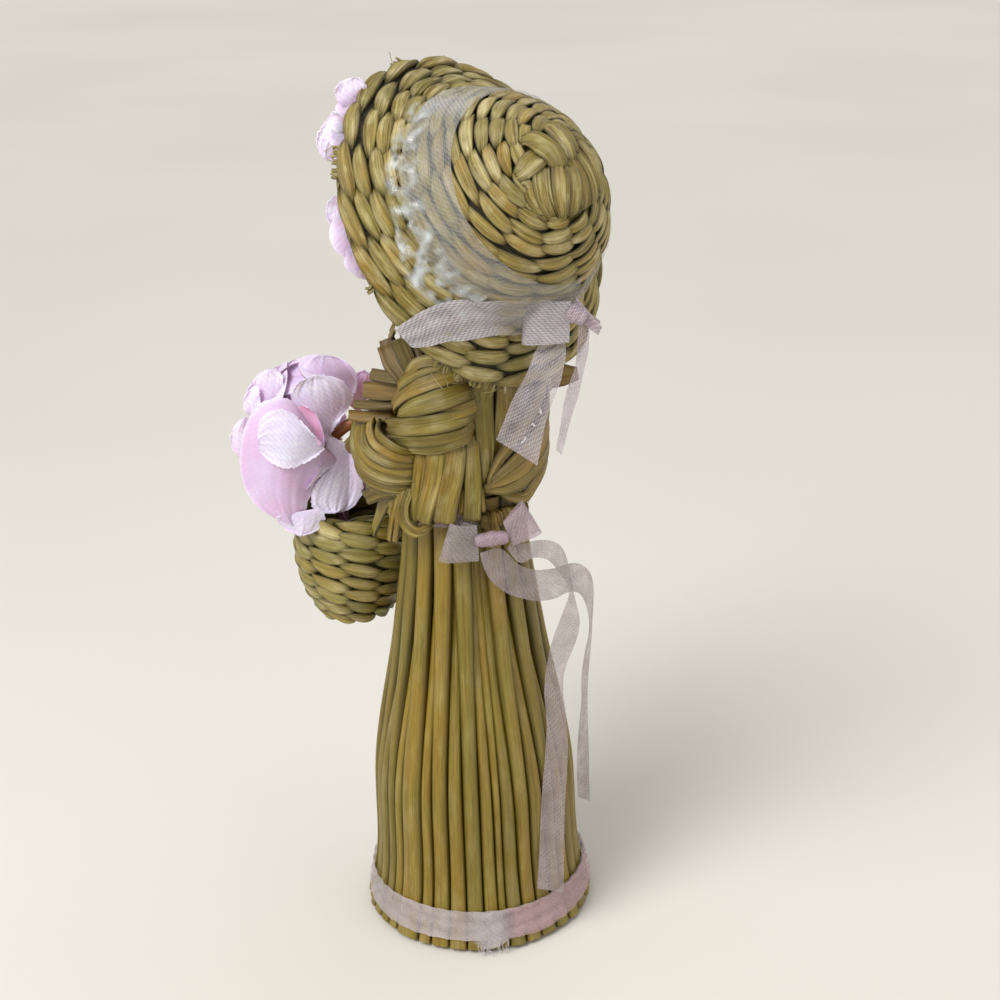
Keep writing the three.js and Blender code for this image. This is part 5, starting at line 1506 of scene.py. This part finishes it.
def petal(bundle, left, right, bulge, facing, tone, ruffle=0.3, curl=0.0, rows=44, columns=41,
          heart=None, size=18.0):
    """A cloth petal between two edges that meet at its tip, bulging towards facing."""
    low = curve_through(left, rows)
    high = curve_through(right, rows)
    u = np.linspace(0, 1, rows)[:, None]
    v = np.linspace(0, 1, columns)[None, :]
    across = high - low
    width = np.linalg.norm(across, axis=1, keepdims=True)
    face = unit(facing)
    dome = bulge * (4 * v * (1 - v)) * np.sin(math.pi * (0.12 + 0.82 * u))
    edge = np.maximum(np.abs(2 * v - 1), 1.6 * u - 0.6).clip(0, 1)
    pleats = 0.08 * np.sin(v * 31 + rng.uniform(0, 6)) + 0.06 * np.sin(v * 57 - 3 * u + rng.uniform(0, 6))
    waves = ruffle * (np.sin(9 * v + 4 * u + rng.uniform(0, 6)) + np.sin(13 * u - 5 * v + rng.uniform(0, 6)))
    rolled = -curl * edge**5
    waves = waves * (0.25 + edge**3) + pleats * smooth_step(0.1, 0.8, u) * (0.4 + edge**2)
    lift = dome + waves * np.minimum(1, width / 6) + rolled
    grid = low[:, None] + across[:, None] * v[..., None] + face * lift[..., None]
    rough = 0.14 * rng.standard_normal((rows, columns)).clip(-1.6, 1.6) * (edge > 0.97)
    grid = grid + unit(across)[:, None] * rough[..., None]
    along = np.r_[0, np.cumsum(np.linalg.norm(np.diff((low + high) / 2, axis=0), axis=1))][:, None]
    fibre = np.stack([along + 0 * v, width * (v - 0.5), np.zeros((rows, columns))], axis=-1)
    fibre = fibre + rng.uniform(0, 200, 3) * [1, 1, 0]
    depth = tone[0] + (tone[1] - tone[0]) * u
    depth = depth * (1 - 0.6 * smooth_step(0.86, 1.0, edge))
    if heart is not None:
        grid = wrapped(grid, heart, size)
    sheet(bundle, grid, PETAL_THICKNESS, depth, 1.0, fibre)


# Petals in the photograph's pixels: left edge, right edge, how near the camera the root and the
# tip are, bulge, and how deep the pink is at the root and the tip
FRONT_BLOOM_SEEN = [
    ([(345, 448), (347, 460), (353, 478), (358, 488), (364, 490)],
     [(352, 428), (359, 437), (361, 455), (366, 475), (364, 490)], (-16, -15), 0.5, (0.9, 0.8)),
    ([(304, 516), (290, 513), (276, 518), (284, 528), (300, 536)],
     [(306, 512), (318, 509), (324, 516), (319, 528), (300, 536)], (-3, -2), 0.5, (0.15, 0.1)),
    ([(327, 437), (325, 450), (330, 462), (320, 477), (312, 492), (311, 504), (319, 511), (333, 513)],
     [(332, 437), (342, 442), (351, 454), (357, 468), (361, 483), (358, 497), (349, 508), (333, 513)],
     (-7, -2.6), 0.6, (0.25, 0.05)),
    ([(322, 447), (300, 410), (284, 397), (266, 399), (251, 412), (242, 430), (238, 456), (242, 484),
      (256, 505), (276, 518), (293, 525)],
     [(337, 459), (330, 466), (322, 473), (316, 480), (312, 488), (309, 497), (307, 505), (304, 513),
      (300, 519), (297, 523), (293, 525)], (-6, -2.6), 3.0, (0.5, 0.42)),
    ([(293, 412), (299, 423), (309, 435), (318, 442), (324, 445)],
     [(300, 404), (310, 408), (319, 422), (323, 434), (324, 445)], (-5, -4), -0.6, (1.0, 0.85)),
    ([(322, 443), (313, 434), (302, 422), (290, 412), (276, 408), (263, 415), (257, 430), (258, 441)],
     [(324, 448), (315, 457), (304, 463), (291, 468), (277, 465), (266, 458), (259, 449), (258, 441)],
     (-2.6, -1.4), 0.7, (0.12, 0.0)),
]
BACK_BLOOM_SEEN = [
    ([(345, 402), (349, 388), (352, 377), (356, 371), (362, 368)],
     [(358, 412), (365, 397), (369, 384), (371, 374), (362, 368)], (-20, -19), 0.8, (0.7, 0.5)),
    ([(298, 410), (285, 394), (282, 376), (292, 361), (308, 354), (322, 353)],
     [(348, 405), (354, 387), (355, 373), (348, 362), (336, 356), (322, 353)], (-17, -18), 0.9, (0.5, 0.3)),
    ([(246, 462), (233, 453), (227, 443), (228, 431), (234, 421), (242, 416)],
     [(252, 452), (250, 441), (248, 431), (247, 422), (245, 417), (242, 416)], (-15, -14), 1.0, (0.25, 0.1)),
    ([(262, 420), (246, 413), (241, 398), (247, 384), (255, 373), (266, 368)],
     [(282, 418), (283, 402), (283, 387), (281, 374), (275, 369), (266, 368)], (-15, -14), 0.7, (0.3, 0.0)),
    ([(256, 416), (243, 412), (240, 402), (244, 391), (250, 385)],
     [(262, 412), (259, 402), (258, 392), (256, 386), (250, 385)], (-13, -13), 0.9, (0.1, 0.0)),
    ([(324, 443), (310, 422), (299, 408), (291, 398), (297, 384), (315, 374)],
     [(326, 441), (337, 422), (347, 408), (351, 394), (342, 380), (315, 374)], (-11, -11), 0.8, (0.2, 0.0)),
]
UPPER_BRIM_BLOOM_SEEN = [
    ([(352, 112), (340, 104), (335, 94), (340, 83), (352, 78)],
     [(360, 106), (364, 96), (366, 86), (361, 79), (352, 78)], (6, 6), 0.6, (0.15, 0.0)),
    ([(350, 122), (334, 112), (324, 124), (317, 138), (319, 152), (328, 161)],
     [(352, 135), (348, 145), (344, 152), (340, 158), (335, 161), (328, 161)], (10, 11), 0.7, (0.2, 0.0)),
]
LOWER_BRIM_BLOOM_SEEN = [
    ([(346, 198), (334, 196), (327, 206), (328, 219), (334, 228), (342, 232)],
     [(348, 206), (348, 214), (348, 221), (347, 227), (345, 231), (342, 232)], (18, 19), 0.6, (0.2, 0.0)),
]


def petals_seen(bundle, petals, heart=None, size=18.0):
    """Petals of a table above, bent back round the heart if one is given."""
    for left, right, near, bulge, tone in petals:
        edges = []
        for edge in (left, right):
            depth = np.linspace(*near, len(edge))
            edges.append([at_depth(x, y, d) for (x, y), d in zip(edge, depth)])
        petal(bundle, *edges, bulge, camera_back + UP * 0.25, tone, curl=-0.45, heart=heart, size=size)


def rosette(bundle, centre, facing, radius, cup, start=0.3, tone=(0.5, 0.1)):
    """Round petals about a centre."""
    facing = unit(facing)
    side = unit(np.cross(facing, UP + 0.01))
    up = np.cross(side, facing)
    for i in range(ROSETTE_PETALS):
        turn = start + 2 * math.pi * i / ROSETTE_PETALS
        along = side * math.cos(turn) + up * math.sin(turn)
        wide = np.cross(facing, along)
        reach = radius * rng.uniform(0.92, 1.08)
        edges = []
        for way in (-1, 1):
            steps = ((0.06, 0.08), (0.3, 0.34), (0.6, 0.52), (0.85, 0.42), (0.97, 0.2), (1.0, 0.0))
            edges.append([centre + along * (reach * u) + wide * (way * reach * w)
                          + facing * (cup * reach * u * u) for u, w in steps])
        petal(bundle, *edges, 0.1 * radius, -facing, tone, ruffle=0.12, rows=18, columns=17)


def full_bloom(bundle, centre, radius):
    """Overlapping round petals on the sides of a blossom that the photograph doesn't show."""
    apart = math.pi * (3 - math.sqrt(5))
    reach = np.linspace(0.03, 0.8, 15)[:, None]
    around = np.linspace(0, 2 * math.pi, 33)[None, :]
    for i in range(HIDDEN_PETALS):
        height = 1 - 2 * (i + 0.5) / HIDDEN_PETALS
        direction = polar(math.sqrt(1 - height**2), apart * i, height)
        if direction @ camera_back > 0.4:
            continue
        side = unit(np.cross(direction, UP + 0.01))
        up = np.cross(side, direction)
        rim = (reach / 0.8) ** 3
        lobes = 1 + rim * (0.08 * np.sin(3 * around + i) + 0.04 * np.sin(8 * around + 2 * i))
        size = radius * rng.uniform(0.84, 1.0) * (1 + 0.14 * rim + 0.03 * rim * np.sin(5 * around + i))
        ring = side * np.cos(around)[..., None] + up * np.sin(around)[..., None]
        grid = direction * (size * np.cos(reach))[..., None]
        grid = grid + ring * (size * lobes * np.sin(reach))[..., None]
        fibre = [radius * reach * np.cos(around), radius * reach * np.sin(around), 0 * reach * around]
        fibre = np.stack(fibre, axis=-1) + rng.uniform(0, 200, 3) * [1, 1, 0]
        sheet(bundle, centre + grid, PETAL_THICKNESS, 0.45 - 0.4 * reach, 1.0, fibre)


def stalk(bundle, top, near):
    foot = basket_centre + UP * (BASKET_BOTTOM + 1.5) + camera_back * near
    path = curve_through([foot, foot * [1, 1, 0] + UP * basket_top, top], 16)
    strand(bundle, path, UP + 0.1, 1.6, 1.6, sides=8, tone=0.9, shade=0.25)


def flowers():
    bundle = Bundle()
    heart = at_depth(292, 449, -12.5)
    petals_seen(bundle, FRONT_BLOOM_SEEN, heart, 17.0)
    lip = [at_depth(x, y, -3.6) for x, y in ((297, 419), (305, 427), (314, 437), (321, 444))]
    strand(bundle, curve_through(lip, 14), camera_back, 1.1, 0.9, sides=12, tone=0.85)
    full_bloom(bundle, heart, 9.0)
    stalk(bundle, heart, 1.4)
    bundle.build("basket_bloom_front", petal_cloth, "petal", "basket_flower_front")
    bundle = Bundle()
    heart = at_depth(306, 400, -20.5)
    petals_seen(bundle, BACK_BLOOM_SEEN, heart, 15.0)
    full_bloom(bundle, heart, 8.2)
    stalk(bundle, heart, -1.4)
    bundle.build("basket_bloom_back", petal_cloth, "petal", "basket_flower_back")
    stretch = RIM_HALF_HEIGHT / RIM_HALF_WIDTH
    for name, degrees, inset, seen in (
            ("upper", 50, 6.6, UPPER_BRIM_BLOOM_SEEN), ("lower", 5, 7.0, LOWER_BRIM_BLOOM_SEEN)):
        bundle = Bundle()
        petals_seen(bundle, seen)
        centre = bonnet_point(-1.8, RIM_HALF_WIDTH - inset, math.radians(degrees), stretch)
        rosette(bundle, centre, -bonnet_axis, 8.0, 0.2)
        rosette(bundle, centre - bonnet_axis * 0.8, -bonnet_axis, 4.6, 0.4, 0.9, (0.8, 0.3))
        bundle.build(f"brim_bloom_{name}", petal_cloth, "petal", f"brim_flower_{name}")


# Camera, lamps and floor

def camera():
    data = bpy.data.cameras.new("camera")
    data.sensor_width = SENSOR
    data.lens = FOCAL_PIXELS * SENSOR / PHOTO_WIDTH
    data.clip_start = 0.01
    seen = bpy.data.objects.new("camera", data)
    columns = [camera_x, camera_y, -camera_forward, camera_place * MM]
    seen.matrix_world = Matrix([[float(c[row]) for c in columns] for row in range(3)] + [[0, 0, 0, 1]])
    bpy.context.scene.collection.objects.link(seen)
    bpy.context.scene.camera = seen


def lamp(name, place, target, size, power):
    data = bpy.data.lights.new(name, "AREA")
    data.shape = "DISK"
    data.size = size * MM
    data.energy = power
    light = bpy.data.objects.new(name, data)
    light.location = Vector(place) * MM
    aim = Vector(target) * MM - light.location
    light.rotation_euler = aim.to_track_quat("-Z", "Y").to_euler()
    bpy.context.scene.collection.objects.link(light)


def sun(name, direction, spread, strength):
    data = bpy.data.lights.new(name, "SUN")
    data.energy = strength
    data.angle = math.radians(spread)
    light = bpy.data.objects.new(name, data)
    light.rotation_euler = Vector(-direction).to_track_quat("-Z", "Y").to_euler()
    bpy.context.scene.collection.objects.link(light)


def studio():
    """The camera, soft lamps, a plain background and the floor."""
    camera()
    back, right = camera_back, camera_right
    middle = np.array([0, 0, 95.0])
    lamp("key", back * 330 - right * 330 + UP * 520, middle, 300, 1.5)
    lamp("fill", back * 300 + right * 420 + UP * 260, middle, 420, 0.5)
    sun("sky_light", back * 0.7 - right * 0.75 + UP * 1.2, 40, 1.5)
    sun("rear_light", right * 0.5 - back * 0.5 + UP * 1.4, 60, 0.45)
    world = bpy.data.worlds.new("studio")
    world.use_nodes = True
    bpy.context.scene.world = world
    tree = world.node_tree
    sky = tree.nodes["Background"]
    sky.inputs["Color"].default_value = (0.86, 0.86, 0.86, 1)
    sky.inputs["Strength"].default_value = 0.5
    plain = tree.nodes.new("ShaderNodeBackground")
    plain.inputs["Color"].default_value = (0.9, 0.9, 0.9, 1)
    rays = tree.nodes.new("ShaderNodeLightPath").outputs

    def either(first, second):
        node = tree.nodes.new("ShaderNodeMath")
        node.operation = "MAXIMUM"
        tree.links.new(first, node.inputs[0])
        tree.links.new(second, node.inputs[1])
        return node.outputs[0]

    seen = either(either(rays["Is Camera Ray"], rays["Is Glossy Ray"]), rays["Is Transmission Ray"])
    mix = tree.nodes.new("ShaderNodeMixShader")
    tree.links.new(seen, mix.inputs[0])
    tree.links.new(sky.outputs[0], mix.inputs[1])
    tree.links.new(plain.outputs[0], mix.inputs[2])
    tree.links.new(mix.outputs[0], tree.nodes["World Output"].inputs["Surface"])
    mesh = bpy.data.meshes.new("floor")
    half = FLOOR_HALF
    corners = [(-half, -half, 0), (half, -half, 0), (half, half, 0), (-half, half, 0)]
    mesh.from_pydata(corners, [], [(0, 1, 2, 3)])
    mesh.materials.append(floor_material())
    floor = bpy.data.objects.new("floor", mesh)
    bpy.context.scene.collection.objects.link(floor)
    bpy.context.scene.view_settings.view_transform = "Standard"


studio()
bodice()
basket()
collar("collar_left", LEFT)
collar("collar_right", RIGHT)
cores()
ribbons()
flowers()
